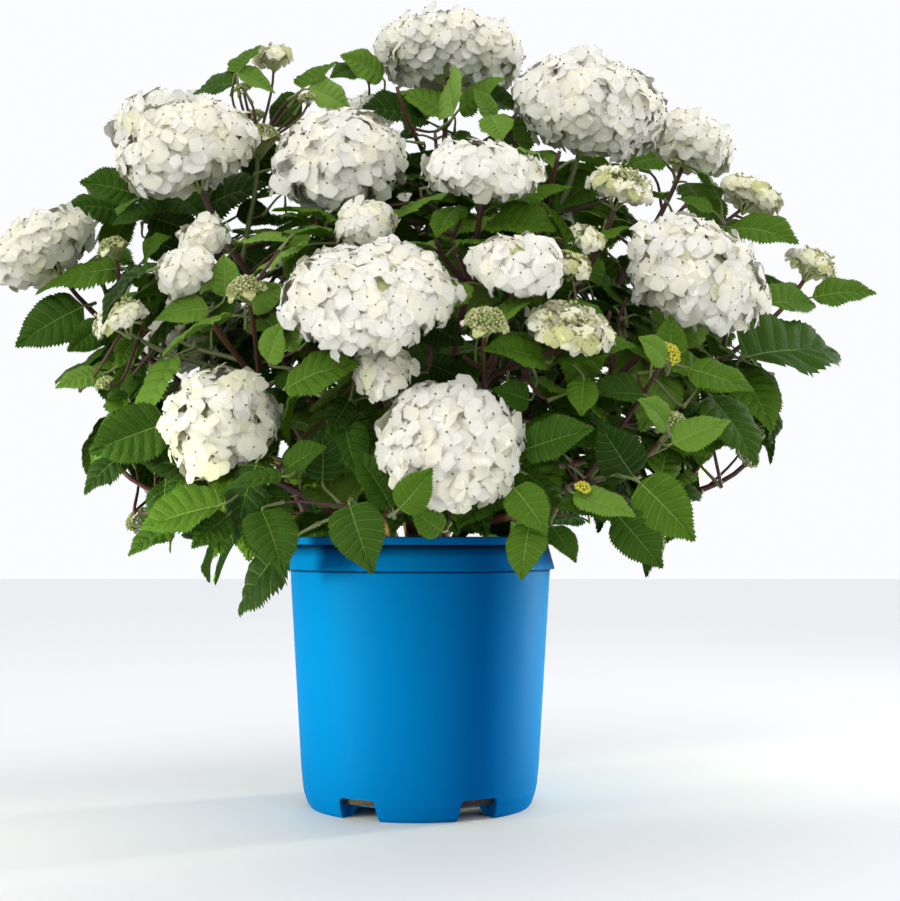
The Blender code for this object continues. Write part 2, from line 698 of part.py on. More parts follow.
def build_pot(finish):
    """Lip, collar, tapered body, rounded heel and a base panel held off the ground."""
    top = POT_HEIGHT
    band_foot = top - BAND_HEIGHT
    panel_top = BASE_UNDERSIDE + POT_WALL
    profile = [
        (LIP_RADIUS, top), (LIP_RADIUS, top - LIP_HEIGHT), (BAND_RADIUS, top - LIP_HEIGHT),
        (BAND_RADIUS - 0.0004, band_foot), (BODY_TOP_RADIUS, band_foot),
        (BODY_FOOT_RADIUS, HEEL_HEIGHT), (BODY_FOOT_RADIUS - 0.0022, 0.014), (HEEL_RADIUS, 0.003),
        (FOOT_OUTER, 0), (FOOT_INNER, 0), (FOOT_INNER - 0.001, BASE_UNDERSIDE), (0, BASE_UNDERSIDE),
        (0, panel_top), (BODY_FOOT_RADIUS - POT_WALL - 0.006, panel_top),
        (BODY_FOOT_RADIUS - POT_WALL, HEEL_HEIGHT), (inner_radius(band_foot), band_foot - 0.002),
        (BAND_RADIUS - POT_WALL, band_foot), (BAND_RADIUS - POT_WALL, top),
    ]
    pot = mesh_object("pot", turned(profile, POT_SEGMENTS), finish)
    merge_axis(pot)
    for k in range(NOTCH_COUNT):
        turn = math.radians(NOTCH_TURN + k * 360 / NOTCH_COUNT)
        cutter = bpy.data.objects.new(f"notch_cutter_{k}", notch_mesh())
        cutter.matrix_world = Matrix.Rotation(turn, 4, "Z")
        cutter.hide_render = True
        cutter.display_type = "WIRE"
        bpy.context.scene.collection.objects.link(cutter)
        cut = pot.modifiers.new(f"notch_{k}", "BOOLEAN")
        cut.operation = "DIFFERENCE"
        cut.object = cutter
        cut.solver = "EXACT"
    apply_modifiers(pot)
    for k in range(NOTCH_COUNT):
        bpy.data.objects.remove(bpy.data.objects[f"notch_cutter_{k}"])
    pot.data.shade_smooth()
    pot.data.set_sharp_from_angle(angle=math.radians(SMOOTH_ANGLE))
    return pot


def notch_mesh():
    """A drain notch: a block with leaning sides and cut upper corners, facing -Y."""
    half, tall, corner = NOTCH_WIDTH / 2, NOTCH_HEIGHT, NOTCH_CORNER
    outline = [(-half, -0.005), (half, -0.005), (half - NOTCH_LEAN, tall - corner), (half - corner, tall),
               (-half + corner, tall), (-half + NOTCH_LEAN, tall - corner)]
    near, far = -0.125, -0.0865
    verts = [(x, near, z) for x, z in outline] + [(x, far, z) for x, z in outline]
    count = len(outline)
    faces = [tuple(range(count)), tuple(reversed(range(count, 2 * count)))]
    faces += [(k, k + count, (k + 1) % count + count, (k + 1) % count) for k in range(count)]
    mesh = bpy.data.meshes.new("notch_cutter")
    mesh.from_pydata(verts, [], faces)
    form = bmesh.new()
    form.from_mesh(mesh)
    bmesh.ops.recalc_face_normals(form, faces=form.faces)
    form.to_mesh(mesh)
    form.free()
    return mesh


def build_mix(finish):
    """The root ball and mix fill the pot to just under its collar."""
    panel_top = BASE_UNDERSIDE + POT_WALL
    profile = [
        (0, MIX_TOP + MIX_CROWNING), (CANE_FOOT_RING + 0.012, MIX_TOP + MIX_CROWNING),
        (inner_radius(POT_HEIGHT) - 3 * GAP, MIX_TOP - MIX_SHOULDER),
        (inner_radius(HEEL_HEIGHT) - 3 * GAP, HEEL_HEIGHT),
        (BODY_FOOT_RADIUS - POT_WALL - 0.0075, panel_top + GAP), (0, panel_top + GAP),
    ]
    mix = mesh_object("potting_mix", turned(profile, MIX_SEGMENTS), finish)
    merge_axis(mix)
    mix.data.shade_smooth()
    mix.data.set_sharp_from_angle(angle=math.radians(SMOOTH_ANGLE))
    return mix


def cut_saddle(bough, cane):
    """Fits a bough's root to its cane, with the usual gap all round."""
    cutter = mesh_object("saddle_cutter", inflate(cane), bough.data.materials[0])
    cut = bough.modifiers.new("saddle", "BOOLEAN")
    cut.operation = "DIFFERENCE"
    cut.object = cutter
    cut.solver = "EXACT"
    apply_modifiers(bough)
    bpy.data.objects.remove(cutter)
    keep_largest(bough.data, False)


def build():
    for old in list(bpy.data.objects):
        bpy.data.objects.remove(old)
    blue = material("pot_blue", POT_BLUE, 0.35)
    brown = material("potting_mix", MIX_BROWN, 0.95)
    tan = material("cane_bark", CANE_TAN, 0.85)
    red = material("bough_bark", STEM_RED, 0.7)
    green = material("foliage", LEAF_GREEN, 0.6)
    pot = build_pot(blue)
    build_mix(brown)

    canes, limbs = [], {}
    for number, shoot in enumerate(SHOOTS):
        if shoot.limb == "cane":
            limbs[number] = grow_cane(f"cane_{len(canes) + 1:02d}", shoot)
            canes.append(limbs[number])
    for cane in canes:
        mesh_object(cane.name, tube(*cane[1:]), tan)
    for number, shoot in enumerate(SHOOTS):
        if shoot.limb == "bough":
            name = f"bough_{len(limbs) - len(canes) + 1:02d}"
            limbs[number], cane = grow_bough(name, shoot, canes, list(limbs.values()))
            piece = mesh_object(name, tube(*limbs[number][1:]), red)
            cut_saddle(piece, cane)

    trees = {number: tree_of(inflate(limb, LEAF_CLEAR)) for number, limb in limbs.items()}
    outer, inner, top = LIP_RADIUS + RIM_CLEAR, inner_radius(POT_HEIGHT), POT_HEIGHT + RIM_CLEAR
    rim = [(outer, 0), (outer, top), (inner, top), (inner, 0)]
    crown = Crown(trees, tree_of(turned(rim, POT_SEGMENTS)))
    crown.grow_leaves()
    for number, mass in enumerate(crown.masses):
        fuse(f"foliage_{number + 1:02d}", mass, green)


if __name__ == "__main__":
    build()
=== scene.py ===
"""White mophead hydrangea in its blue nursery pot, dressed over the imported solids.

The file follows the plant as it is put together: studio, pot, potting mix, the plan of the
shoots, canes, boughs, stems, leaves, flower heads. Metres, +Z up, the front faces -Y.
"""
import math
import random
from collections import namedtuple

import bmesh
import bpy
import numpy as np
from mathutils import Matrix, Quaternion, Vector, noise
from mathutils.bvhtree import BVHTree


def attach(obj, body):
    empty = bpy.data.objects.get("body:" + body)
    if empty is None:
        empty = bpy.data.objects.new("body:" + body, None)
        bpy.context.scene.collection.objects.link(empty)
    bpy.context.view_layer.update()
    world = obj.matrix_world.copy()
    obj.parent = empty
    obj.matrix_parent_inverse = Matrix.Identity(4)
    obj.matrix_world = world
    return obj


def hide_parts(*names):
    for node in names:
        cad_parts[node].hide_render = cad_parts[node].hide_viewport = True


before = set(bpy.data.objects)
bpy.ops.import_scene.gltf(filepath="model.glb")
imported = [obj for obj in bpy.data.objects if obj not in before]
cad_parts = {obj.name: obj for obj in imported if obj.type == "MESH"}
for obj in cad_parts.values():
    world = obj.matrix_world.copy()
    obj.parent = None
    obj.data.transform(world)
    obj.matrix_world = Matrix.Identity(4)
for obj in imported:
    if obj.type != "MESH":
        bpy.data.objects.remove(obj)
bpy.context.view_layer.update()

UP = Vector((0, 0, 1))

# ---------------------------------------------------------------- studio
# A pale floor under an even pale sky, a broad soft lamp high on the left, two low narrow ones
# that rake the pot from either side, and a weak one behind on the right.
CAMERA_PLACE = (0.027, -1.400, 0.237)
CAMERA_RISE = 3.35           # degrees above level
CAMERA_LENS = 61.25
FLOOR_SPAN = 16.0
SKY_COLOUR = (0.90, 0.91, 0.93)
SKY_STRENGTH = 1.07
FLOOR_COLOUR = (0.84, 0.85, 0.86)
CROWN_AIM, POT_AIM, TOP_AIM = (0, 0, 0.45), (0, 0, 0.13), (0, 0, 0.50)
KEY_WARMTH = (1.0, 0.985, 0.96)
POT_BEAM = 18                # degrees, so that the low lamps light the pot alone

eye = bpy.data.cameras.new("camera")
eye.lens = CAMERA_LENS
eye.sensor_width = 36
eye.clip_end = 60
camera = bpy.data.objects.new("camera", eye)
camera.location = CAMERA_PLACE
camera.rotation_euler = (math.radians(90 + CAMERA_RISE), 0, 0)
bpy.context.scene.collection.objects.link(camera)
bpy.context.scene.camera = camera
bpy.context.scene.view_settings.view_transform = "Standard"

sky = bpy.data.worlds.new("studio_sky")
sky.use_nodes = True
sky.node_tree.nodes["Background"].inputs["Color"].default_value = (*SKY_COLOUR, 1)
sky.node_tree.nodes["Background"].inputs["Strength"].default_value = SKY_STRENGTH
bpy.context.scene.world = sky


def soft_lamp(name, place, target, size, watts, colour=(1, 1, 1), beam=180):
    """A square panel lamp that faces its target, with louvres that narrow its beam."""
    panel = bpy.data.lights.new(name, "AREA")
    panel.shape = "SQUARE"
    panel.size = size
    panel.energy = watts
    panel.color = colour
    panel.spread = math.radians(beam)
    lamp = bpy.data.objects.new(name, panel)
    lamp.location = place
    lamp.rotation_euler = (Vector(target) - Vector(place)).to_track_quat("-Z", "Y").to_euler()
    bpy.context.scene.collection.objects.link(lamp)


soft_lamp("key_lamp", (-1.1, -2.2, 2.1), CROWN_AIM, 2.2, 26, KEY_WARMTH)
soft_lamp("pot_lamp", (-1.34, -0.70, 0.15), POT_AIM, 0.26, 1.05, (0.95, 1.0, 0.60), POT_BEAM)
soft_lamp("pot_edge_lamp", (1.35, 0.72, 0.15), POT_AIM, 0.26, 1.4, (0.95, 1.0, 0.66), POT_BEAM)
soft_lamp("rim_lamp", (1.4, 0.5, 1.3), TOP_AIM, 0.9, 8)


def plain_finish(name, colour, roughness):
    """A Principled material, with its node tree and its shader."""
    finish = bpy.data.materials.new(name)
    finish.use_nodes = True
    shader = finish.node_tree.nodes["Principled BSDF"]
    shader.inputs["Base Color"].default_value = (*colour, 1)
    shader.inputs["Roughness"].default_value = roughness
    return finish, finish.node_tree, shader


def grain(tree, scale, detail=3.0, stretch=(1, 1, 1)):
    """The value of a noise in the piece's own space, finer along some ways than others."""
    place = tree.nodes.new("ShaderNodeTexCoord")
    sized = tree.nodes.new("ShaderNodeMapping")
    sized.inputs["Scale"].default_value = stretch
    speckle = tree.nodes.new("ShaderNodeTexNoise")
    speckle.inputs["Scale"].default_value = scale
    speckle.inputs["Detail"].default_value = detail
    tree.links.new(place.outputs["Object"], sized.inputs["Vector"])
    tree.links.new(sized.outputs["Vector"], speckle.inputs["Vector"])
    return speckle.outputs["Fac"]


def rough_between(tree, shader, value, low, high):
    """Roughness that wanders with a value."""
    spread = tree.nodes.new("ShaderNodeMapRange")
    spread.inputs["To Min"].default_value = low
    spread.inputs["To Max"].default_value = high
    tree.links.new(value, spread.inputs["Value"])
    tree.links.new(spread.outputs["Result"], shader.inputs["Roughness"])


def raised_by(tree, shader, value, depth, strength=1.0):
    """Bump of a given depth in metres."""
    bump = tree.nodes.new("ShaderNodeBump")
    bump.inputs["Distance"].default_value = depth
    bump.inputs["Strength"].default_value = strength
    tree.links.new(value, bump.inputs["Height"])
    tree.links.new(bump.outputs["Normal"], shader.inputs["Normal"])


def tinted_by(tree, shader, value, dark, light, low=0.3, high=0.7):
    """Base colour that runs from dark to light with a value."""
    ramp = tree.nodes.new("ShaderNodeValToRGB")
    ramp.color_ramp.elements[0].position = low
    ramp.color_ramp.elements[0].color = (*dark, 1)
    ramp.color_ramp.elements[1].position = high
    ramp.color_ramp.elements[1].color = (*light, 1)
    tree.links.new(value, ramp.inputs["Fac"])
    tree.links.new(ramp.outputs["Color"], shader.inputs["Base Color"])


floor_mesh = bpy.data.meshes.new("floor")
half_span = FLOOR_SPAN / 2
floor_mesh.from_pydata([(-half_span, -half_span, 0), (half_span, -half_span, 0),
                        (half_span, half_span, 0), (-half_span, half_span, 0)], [], [(0, 1, 2, 3)])
floor = bpy.data.objects.new("floor", floor_mesh)
bpy.context.scene.collection.objects.link(floor)
floor_paint, tree, shader = plain_finish("floor_paint", FLOOR_COLOUR, 0.6)
rough_between(tree, shader, grain(tree, 3), 0.55, 0.7)
floor_mesh.materials.append(floor_paint)


# ---------------------------------------------------------------- nursery pot
# Injection-moulded polypropylene, dyed blue through: a stiff lip, a plain collar that steps
# in to a tapered wall, a rounded heel, and six drain notches under a raised base panel.
POT_HEIGHT = 0.240
LIP_RADIUS = 0.1240
LIP_HEIGHT = 0.0067
COLLAR_RADIUS = 0.1222
COLLAR_HEIGHT = 0.0290
UNDERCUT_RADIUS = 0.1162     # the collar's root, drawn in under the lip
WALL_TOP_RADIUS = 0.1186
WALL_FOOT_RADIUS = 0.1070
HEEL_HEIGHT = 0.034
HEEL_RADIUS = 0.1010
FOOT_OUTER, FOOT_INNER = 0.0985, 0.0880
POT_WALL = 0.0020
BASE_UNDERSIDE = 0.0095
NOTCH_COUNT = 6
NOTCH_WIDTH = 0.038
NOTCH_HEIGHT = 0.0185
NOTCH_TURN = 30              # degrees from the front to the first notch
NOTCH_ROUNDING = 0.0045
NOTCH_LEAN = 0.0015
NOTCH_NEAR, NOTCH_FAR = -0.125, -0.0865     # where a notch's space starts and ends, front to back
NOTCH_SUNK = 0.005
POT_TURNS = 144
POT_BLUE = (0.0, 0.084, 0.288)
POT_BLUE_WORN = (0.0, 0.095, 0.305)
# Painted shade in the corner under the lip and in the groove under the collar, where the lip and the collar
# shade the wall: height, lightness.
POT_PAINTED_SHADE = (
    (0.2085, 1.0), (0.2096, 0.30), (0.2108, 0.30), (0.2116, 1.0),
    (0.2220, 1.0), (0.2285, 0.42), (0.2315, 0.10), (0.2332, 0.06), (0.2334, 1.0),
)
PAINTED_SHADE_FOOT, PAINTED_SHADE_TOP = 0.205, 0.240


def rounded(outline, radii, steps=5):
    """An outline with each corner turned into an arc of its radius."""
    points = []
    count = len(outline)
    for k, (corner, radius) in enumerate(zip(outline, radii)):
        corner = Vector(corner)
        before = Vector(outline[k - 1]) - corner
        after = Vector(outline[(k + 1) % count]) - corner
        if radius == 0:
            points.append(corner)
            continue
        half_turn = before.angle(after) / 2
        run = min(radius / math.tan(half_turn), before.length * 0.48, after.length * 0.48)
        first, last = corner + before.normalized() * run, corner + after.normalized() * run
        for step in range(steps + 1):
            t = step / steps
            points.append(first * (1 - t) ** 2 + corner * 2 * t * (1 - t) + last * t * t)
    return points


def turned(profile, turns):
    """Points and faces of a closed profile of (radius, height) turned round Z."""
    points, faces = [], []
    count = len(profile)
    for k in range(turns):
        turn = 2 * math.pi * k / turns
        points += [Vector((r * math.sin(turn), -r * math.cos(turn), z)) for r, z in profile]
    for k in range(turns):
        near, far = k * count, (k + 1) % turns * count
        faces += [(near + i, far + i, far + (i + 1) % count, near + (i + 1) % count)
                  for i in range(count)]
    return points, faces


def new_piece(name, points, faces, *finishes):
    """A linked mesh object."""
    mesh = bpy.data.meshes.new(name)
    mesh.from_pydata([tuple(p) for p in points], [], faces)
    for finish in finishes:
        mesh.materials.append(finish)
    piece = bpy.data.objects.new(name, mesh)
    bpy.context.scene.collection.objects.link(piece)
    return piece


def tidy_mesh(mesh, merge=0.00001):
    """Joins doubled points and turns every face outward."""
    form = bmesh.new()
    form.from_mesh(mesh)
    bmesh.ops.remove_doubles(form, verts=form.verts, dist=merge)
    bmesh.ops.dissolve_degenerate(form, edges=form.edges, dist=merge)
    bmesh.ops.recalc_face_normals(form, faces=form.faces)
    form.to_mesh(mesh)
    form.free()


def settle(piece):
    """Applies a piece's modifiers."""
    bpy.context.view_layer.update()
    seen = piece.evaluated_get(bpy.context.evaluated_depsgraph_get())
    made = bpy.data.meshes.new_from_object(seen)
    piece.modifiers.clear()
    piece.data = made


def inner_radius(z):
    """Inside of the pot's wall at a height."""
    share = (z - HEEL_HEIGHT) / (POT_HEIGHT - COLLAR_HEIGHT - HEEL_HEIGHT)
    return WALL_FOOT_RADIUS + (WALL_TOP_RADIUS - WALL_FOOT_RADIUS) * min(1, share) - POT_WALL


def painted_shade_by_height(tree, shader, stops, foot, top):
    """Painted shade: darkens the base colour by a lightness that runs with the height in the piece."""
    place = tree.nodes.new("ShaderNodeTexCoord")
    split = tree.nodes.new("ShaderNodeSeparateXYZ")
    height = tree.nodes.new("ShaderNodeMapRange")
    height.inputs["From Min"].default_value = foot
    height.inputs["From Max"].default_value = top
    ramp = tree.nodes.new("ShaderNodeValToRGB")
    marks = ramp.color_ramp.elements
    while len(marks) < len(stops):
        marks.new(0.5)
    for mark, (level, light) in zip(marks, stops):
        mark.position = (level - foot) / (top - foot)
        mark.color = (light, light, light, 1)
    shade_mix = tree.nodes.new("ShaderNodeMix")
    shade_mix.data_type = "RGBA"
    shade_mix.blend_type = "MULTIPLY"
    shade_mix.inputs["Factor"].default_value = 1.0
    unshaded_colour = shader.inputs["Base Color"].links[0].from_socket
    tree.links.new(place.outputs["Object"], split.inputs["Vector"])
    tree.links.new(split.outputs["Z"], height.inputs["Value"])
    tree.links.new(height.outputs["Result"], ramp.inputs["Fac"])
    tree.links.new(unshaded_colour, shade_mix.inputs["A"])
    tree.links.new(ramp.outputs["Color"], shade_mix.inputs["B"])
    tree.links.new(shade_mix.outputs["Result"], shader.inputs["Base Color"])


collar_foot = POT_HEIGHT - COLLAR_HEIGHT
lip_foot = POT_HEIGHT - LIP_HEIGHT
panel_top = BASE_UNDERSIDE + POT_WALL
# Each corner of the pot's section, from the lip down the outside and up the inside: its radius
# and height, and how far it is rounded.
pot_outline = [
    ((LIP_RADIUS, POT_HEIGHT), 0.0016), ((LIP_RADIUS, lip_foot), 0.0008),
    ((UNDERCUT_RADIUS, lip_foot), 0.0010),
    ((COLLAR_RADIUS, collar_foot), 0.0012), ((WALL_TOP_RADIUS - 0.0008, collar_foot), 0.0005),
    ((WALL_FOOT_RADIUS, HEEL_HEIGHT), 0.050), ((WALL_FOOT_RADIUS - 0.0022, 0.014), 0.012),
    ((HEEL_RADIUS, 0.003), 0.006), ((FOOT_OUTER, 0), 0.0006), ((FOOT_INNER, 0), 0.0006),
    ((FOOT_INNER - 0.001, BASE_UNDERSIDE), 0.001), ((0, BASE_UNDERSIDE), 0), ((0, panel_top), 0),
    ((WALL_FOOT_RADIUS - POT_WALL - 0.006, panel_top), 0.004),
    ((WALL_FOOT_RADIUS - POT_WALL, HEEL_HEIGHT), 0.02),
    ((inner_radius(collar_foot), collar_foot - 0.002), 0.0008),
    ((COLLAR_RADIUS - POT_WALL, collar_foot + 0.001), 0.0008),
    ((UNDERCUT_RADIUS - POT_WALL, lip_foot), 0.002), ((COLLAR_RADIUS - POT_WALL, POT_HEIGHT), 0.0008),
]
profile = rounded([spot for spot, _ in pot_outline], [radius for _, radius in pot_outline])
pot_plastic, tree, shader = plain_finish("pot_plastic", POT_BLUE, 0.3)
flow = grain(tree, 9, 4, (1, 1, 0.25))
tinted_by(tree, shader, flow, POT_BLUE, POT_BLUE_WORN, 0.35, 0.75)
# Painted shade in bands under the lip and under the collar, set by height.
painted_shade_by_height(tree, shader, POT_PAINTED_SHADE, PAINTED_SHADE_FOOT, PAINTED_SHADE_TOP)
rough_between(tree, shader, grain(tree, 60, 5), 0.42, 0.58)
raised_by(tree, shader, grain(tree, 420, 2), 0.00012, 0.35)
shader.inputs["Specular IOR Level"].default_value = 0.006
pot = new_piece("nursery_pot", *turned(profile, POT_TURNS), pot_plastic)
tidy_mesh(pot.data)


def notch_block():
    """The space of one drain notch: leaning sides, rounded upper corners, facing -Y."""
    half = NOTCH_WIDTH / 2
    outline = [(-half, -NOTCH_SUNK), (half, -NOTCH_SUNK),
               (half - NOTCH_LEAN, NOTCH_HEIGHT), (NOTCH_LEAN - half, NOTCH_HEIGHT)]
    ring = rounded(outline, [0, 0, NOTCH_ROUNDING, NOTCH_ROUNDING], 6)
    points = [(x, NOTCH_NEAR, z) for x, z in ring] + [(x, NOTCH_FAR, z) for x, z in ring]
    count = len(ring)
    faces = [tuple(range(count)), tuple(reversed(range(count, 2 * count)))]
    faces += [(k, k + count, (k + 1) % count + count, (k + 1) % count) for k in range(count)]
    return points, faces


notch_cutters = []
for k in range(NOTCH_COUNT):
    cutter = new_piece(f"notch_cutter_{k}", *notch_block())
    tidy_mesh(cutter.data)
    cutter.matrix_world = Matrix.Rotation(math.radians(NOTCH_TURN + k * 360 / NOTCH_COUNT), 4, "Z")
    cut = pot.modifiers.new(f"notch_{k}", "BOOLEAN")
    cut.operation = "DIFFERENCE"
    cut.solver = "EXACT"
    cut.object = cutter
    notch_cutters.append(cutter)
settle(pot)
for cutter in notch_cutters:
    bpy.data.objects.remove(cutter)
pot.data.shade_smooth()
pot.data.set_sharp_from_angle(angle=math.radians(35))
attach(pot, "root")
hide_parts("pot")


# ---------------------------------------------------------------- potting mix
# Composted bark and peat with the root ball in it, settled a little below the collar:
# an uneven dark surface strewn with bark chips.
MIX_TOP = 0.214
MIX_CROWNING = 0.004
MIX_SHOULDER = 0.006
MIX_RINGS, MIX_TURNS = 26, 90
MIX_RELIEF = 0.0022
MIX_FOOT_RADIUS = 0.0960
CHIP_COUNT = 900
CHIP_SIZES = (0.002, 0.0075)
CHIP_SPREAD = 0.112
CHIP_CORNERS = ((-1, -1, -1), (1, -0.7, -1), (0.8, 1, -1), (-0.9, 0.8, -1),
                (-0.8, -0.8, 1), (0.9, -0.6, 0.8), (0.7, 0.8, 1), (-0.8, 0.7, 0.9))
CHIP_FACES = ((0, 3, 2, 1), (4, 5, 6, 7), (0, 1, 5, 4), (1, 2, 6, 5), (2, 3, 7, 6), (3, 0, 4, 7))
MIX_DARK = (0.016, 0.010, 0.007)
MIX_LIGHT = (0.060, 0.036, 0.022)
CHIP_COLOURS = ((0.030, 0.017, 0.010), (0.085, 0.045, 0.022), (0.16, 0.10, 0.055))
CANE_FOOT_RING = 0.052


def mix_level(x, y):
    """Height of the mix at a place, with its crumbs."""
    out = math.hypot(x, y)
    edge = inner_radius(POT_HEIGHT) - 0.001
    share = min(1, max(0, (out - CANE_FOOT_RING - 0.012) / (edge - CANE_FOOT_RING - 0.012)))
    level = MIX_TOP + MIX_CROWNING - share * (MIX_CROWNING + MIX_SHOULDER)
    return level + MIX_RELIEF * (noise.noise((x * 70, y * 70, 0)) + 0.5 * noise.noise((x * 210, y * 210, 3)))


chance = random.Random(3)
points, faces = [(0, 0, mix_level(0, 0))], []
for ring in range(1, MIX_RINGS + 1):
    reach = (inner_radius(POT_HEIGHT) - 0.001) * ring / MIX_RINGS
    for k in range(MIX_TURNS):
        turn = 2 * math.pi * k / MIX_TURNS
        x, y = reach * math.sin(turn), -reach * math.cos(turn)
        points.append((x, y, mix_level(x, y)))
for k in range(MIX_TURNS):
    faces.append((0, 1 + k, 1 + (k + 1) % MIX_TURNS))
for z, reach in ((HEEL_HEIGHT, inner_radius(HEEL_HEIGHT) - 0.001), (panel_top + 0.0004, MIX_FOOT_RADIUS)):
    for k in range(MIX_TURNS):
        turn = 2 * math.pi * k / MIX_TURNS
        points.append((reach * math.sin(turn), -reach * math.cos(turn), z))
for ring in range(MIX_RINGS + 1):
    for k in range(MIX_TURNS):
        near, far = 1 + ring * MIX_TURNS, 1 + (ring + 1) * MIX_TURNS
        faces.append((near + k, far + k, far + (k + 1) % MIX_TURNS, near + (k + 1) % MIX_TURNS))
faces.append(tuple(reversed(range(len(points) - MIX_TURNS, len(points)))))
marks = [0] * len(faces)
for _ in range(CHIP_COUNT):
    turn, out = chance.uniform(0, 2 * math.pi), math.sqrt(chance.random()) * CHIP_SPREAD
    x, y = out * math.sin(turn), out * math.cos(turn)
    long = chance.uniform(*CHIP_SIZES)
    wide, thick = long * chance.uniform(0.35, 0.8), long * chance.uniform(0.15, 0.4)
    lie = Matrix.Rotation(chance.uniform(0, 6.28), 3, "Z") @ Matrix.Rotation(chance.gauss(0, 0.35), 3, "X")
    middle = Vector((x, y, mix_level(x, y) + thick * 0.25))
    first = len(points)
    for cx, cy, cz in CHIP_CORNERS:
        points.append(middle + lie @ Vector((cx * long / 2, cy * wide / 2, cz * thick / 2)))
    for face in CHIP_FACES:
        faces.append(tuple(first + i for i in face))
    marks += [1 + chance.choice((0, 0, 1, 1, 2))] * len(CHIP_FACES)
mix_finish, tree, shader = plain_finish("potting_mix", MIX_DARK, 0.95)
tinted_by(tree, shader, grain(tree, 260, 6), MIX_DARK, MIX_LIGHT)
raised_by(tree, shader, grain(tree, 500, 6), 0.001, 0.8)
chip_finishes = []
for number, colour in enumerate(CHIP_COLOURS):
    chip, tree, shader = plain_finish(f"bark_chip_{number + 1}", colour, 0.9)
    rough_between(tree, shader, grain(tree, 300), 0.75, 0.98)
    raised_by(tree, shader, grain(tree, 700, 4), 0.0004, 0.7)
    chip_finishes.append(chip)
mix = new_piece("potting_mix_surface", points, faces, mix_finish, *chip_finishes)
mix.data.polygons.foreach_set("material_index", marks)
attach(mix, "root")
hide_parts("potting_mix")


# ---------------------------------------------------------------- plan of the shoots
# Each shoot has a limb, the middle of its space and its flower heads. Azimuth is in degrees
# round from the front, elevation above level; reach, width and depth are in metres.
GOLDEN_TURN = 2.39996        # radians between neighbours where things are strewn evenly
Head = namedtuple("Head", "azimuth elevation reach width depth bloom", defaults=("full",))
Shoot = namedtuple("Shoot", "limb azimuth elevation heads")
CROWN_ROOT = Vector((0, 0, 0.215))
FRONT_SHOOTS = (
    Shoot("cane", -7, 35, (Head(-7, 37, 0.339, 0.136, 0.074),
                           Head(-5, 29, 0.306, 0.050, 0.034, "small"))),
    Shoot("cane", 5, 15, (Head(5.5, 18, 0.297, 0.112, 0.086),)),
    Shoot("cane", -34, 18, (Head(-34, 23, 0.290, 0.096, 0.084, "cream"),)),
    Shoot("cane", 51, 38, (Head(51, 39, 0.370, 0.124, 0.094),)),
    Shoot("cane", 62, 68, (Head(62, 67, 0.433, 0.138, 0.096),)),
    Shoot("cane", 155, 84, (Head(150, 84, 0.488, 0.150, 0.074), Head(-140, 79, 0.440, 0.058, 0.044))),
    Shoot("cane", -58, 57, (Head(-59, 57, 0.420, 0.124, 0.084, "cream"),
                            Head(-48, 49, 0.356, 0.046, 0.038, "small"),
                            Head(-66, 67, 0.405, 0.046, 0.034, "bud"))),
    Shoot("bough", -20, 62, (Head(-26, 66, 0.368, 0.118, 0.094),
                             Head(-12, 55, 0.334, 0.054, 0.044, "small"))),
    Shoot("bough", -95, 56, (Head(-94, 59, 0.480, 0.094, 0.062),
                             Head(-97, 50, 0.462, 0.042, 0.030, "small"))),
    Shoot("cane", -88, 36, (Head(-87, 40, 0.447, 0.104, 0.064, "cream"),
                            Head(-76, 45, 0.392, 0.028, 0.022, "bud"))),
    Shoot("bough", 15, 57, (Head(15.5, 57, 0.376, 0.100, 0.052),)),
    Shoot("bough", 15, 33, (Head(16, 39, 0.360, 0.076, 0.044),
                            Head(23, 31, 0.346, 0.066, 0.026, "part"),
                            Head(10, 30.5, 0.352, 0.032, 0.024, "bud"))),
    Shoot("bough", 96, 53, (Head(98, 57, 0.474, 0.084, 0.060),
                            Head(91, 48, 0.455, 0.062, 0.036, "part"))),
    Shoot("bough", -46, 38, (Head(-42, 41, 0.358, 0.052, 0.040, "small"),
                             Head(-29, 38.5, 0.342, 0.030, 0.024, "bud"),
                             Head(-58, 35, 0.349, 0.048, 0.034, "part"))),
    Shoot("bough", 42, 50, (Head(48, 54, 0.382, 0.058, 0.038, "part"),
                            Head(34, 47, 0.352, 0.032, 0.024, "part"),
                            Head(29, 43, 0.342, 0.030, 0.024, "part"))),
    Shoot("bough", 87, 32, (Head(87, 37, 0.446, 0.050, 0.032, "part"),)),
    Shoot("bough", 39, 18, (Head(41, 20, 0.320, 0.026, 0.024, "bud"),
                            Head(39, 28, 0.345, 0.024, 0.022, "gold"))),
    Shoot("bough", -66, 13, (Head(-66, 17, 0.290, 0.018, 0.018, "bud"),)),
    Shoot("bough", 76, 13, (Head(74, 17, 0.310, 0.018, 0.018, "bud"),)),
)
CROWN_HALF = Vector((0.375, 0.358, 0.500))
CROWN_BOX = (0.392, 0.334)
SKIRT_FOOT = 0.250           # how far out leaves may hang at the rim's level
SKIRT_SLOPE = 0.80
SKIRT_FRONT, SKIRT_BACK = 0.90, 1.16
TIP_SPARE = 0.034
WINDOW_MIDDLE, WINDOW_HALF = 0.027, 0.052      # the part of the rim that leaves don't cover
WINDOW_SILL = 0.2445
BackRing = namedtuple("BackRing", "elevation first step count width limb")
BACK_RINGS = (
    BackRing(61, 134, 66, 2, 0.120, "cane"),
    BackRing(37, 119, 41, 4, 0.106, "bough"),
    BackRing(14, 126, 54, 3, 0.064, "bough"),
)
HEAD_SINK = 0.86             # how deep in the crown a back head stands
HEAD_LIFT = 0.7              # how far a head turns up from straight outward
HEAD_MARGIN = 1.06           # room a head takes beside a wall, as a factor
HEAD_DEPTH = 0.66            # of a back head, as a part of its width
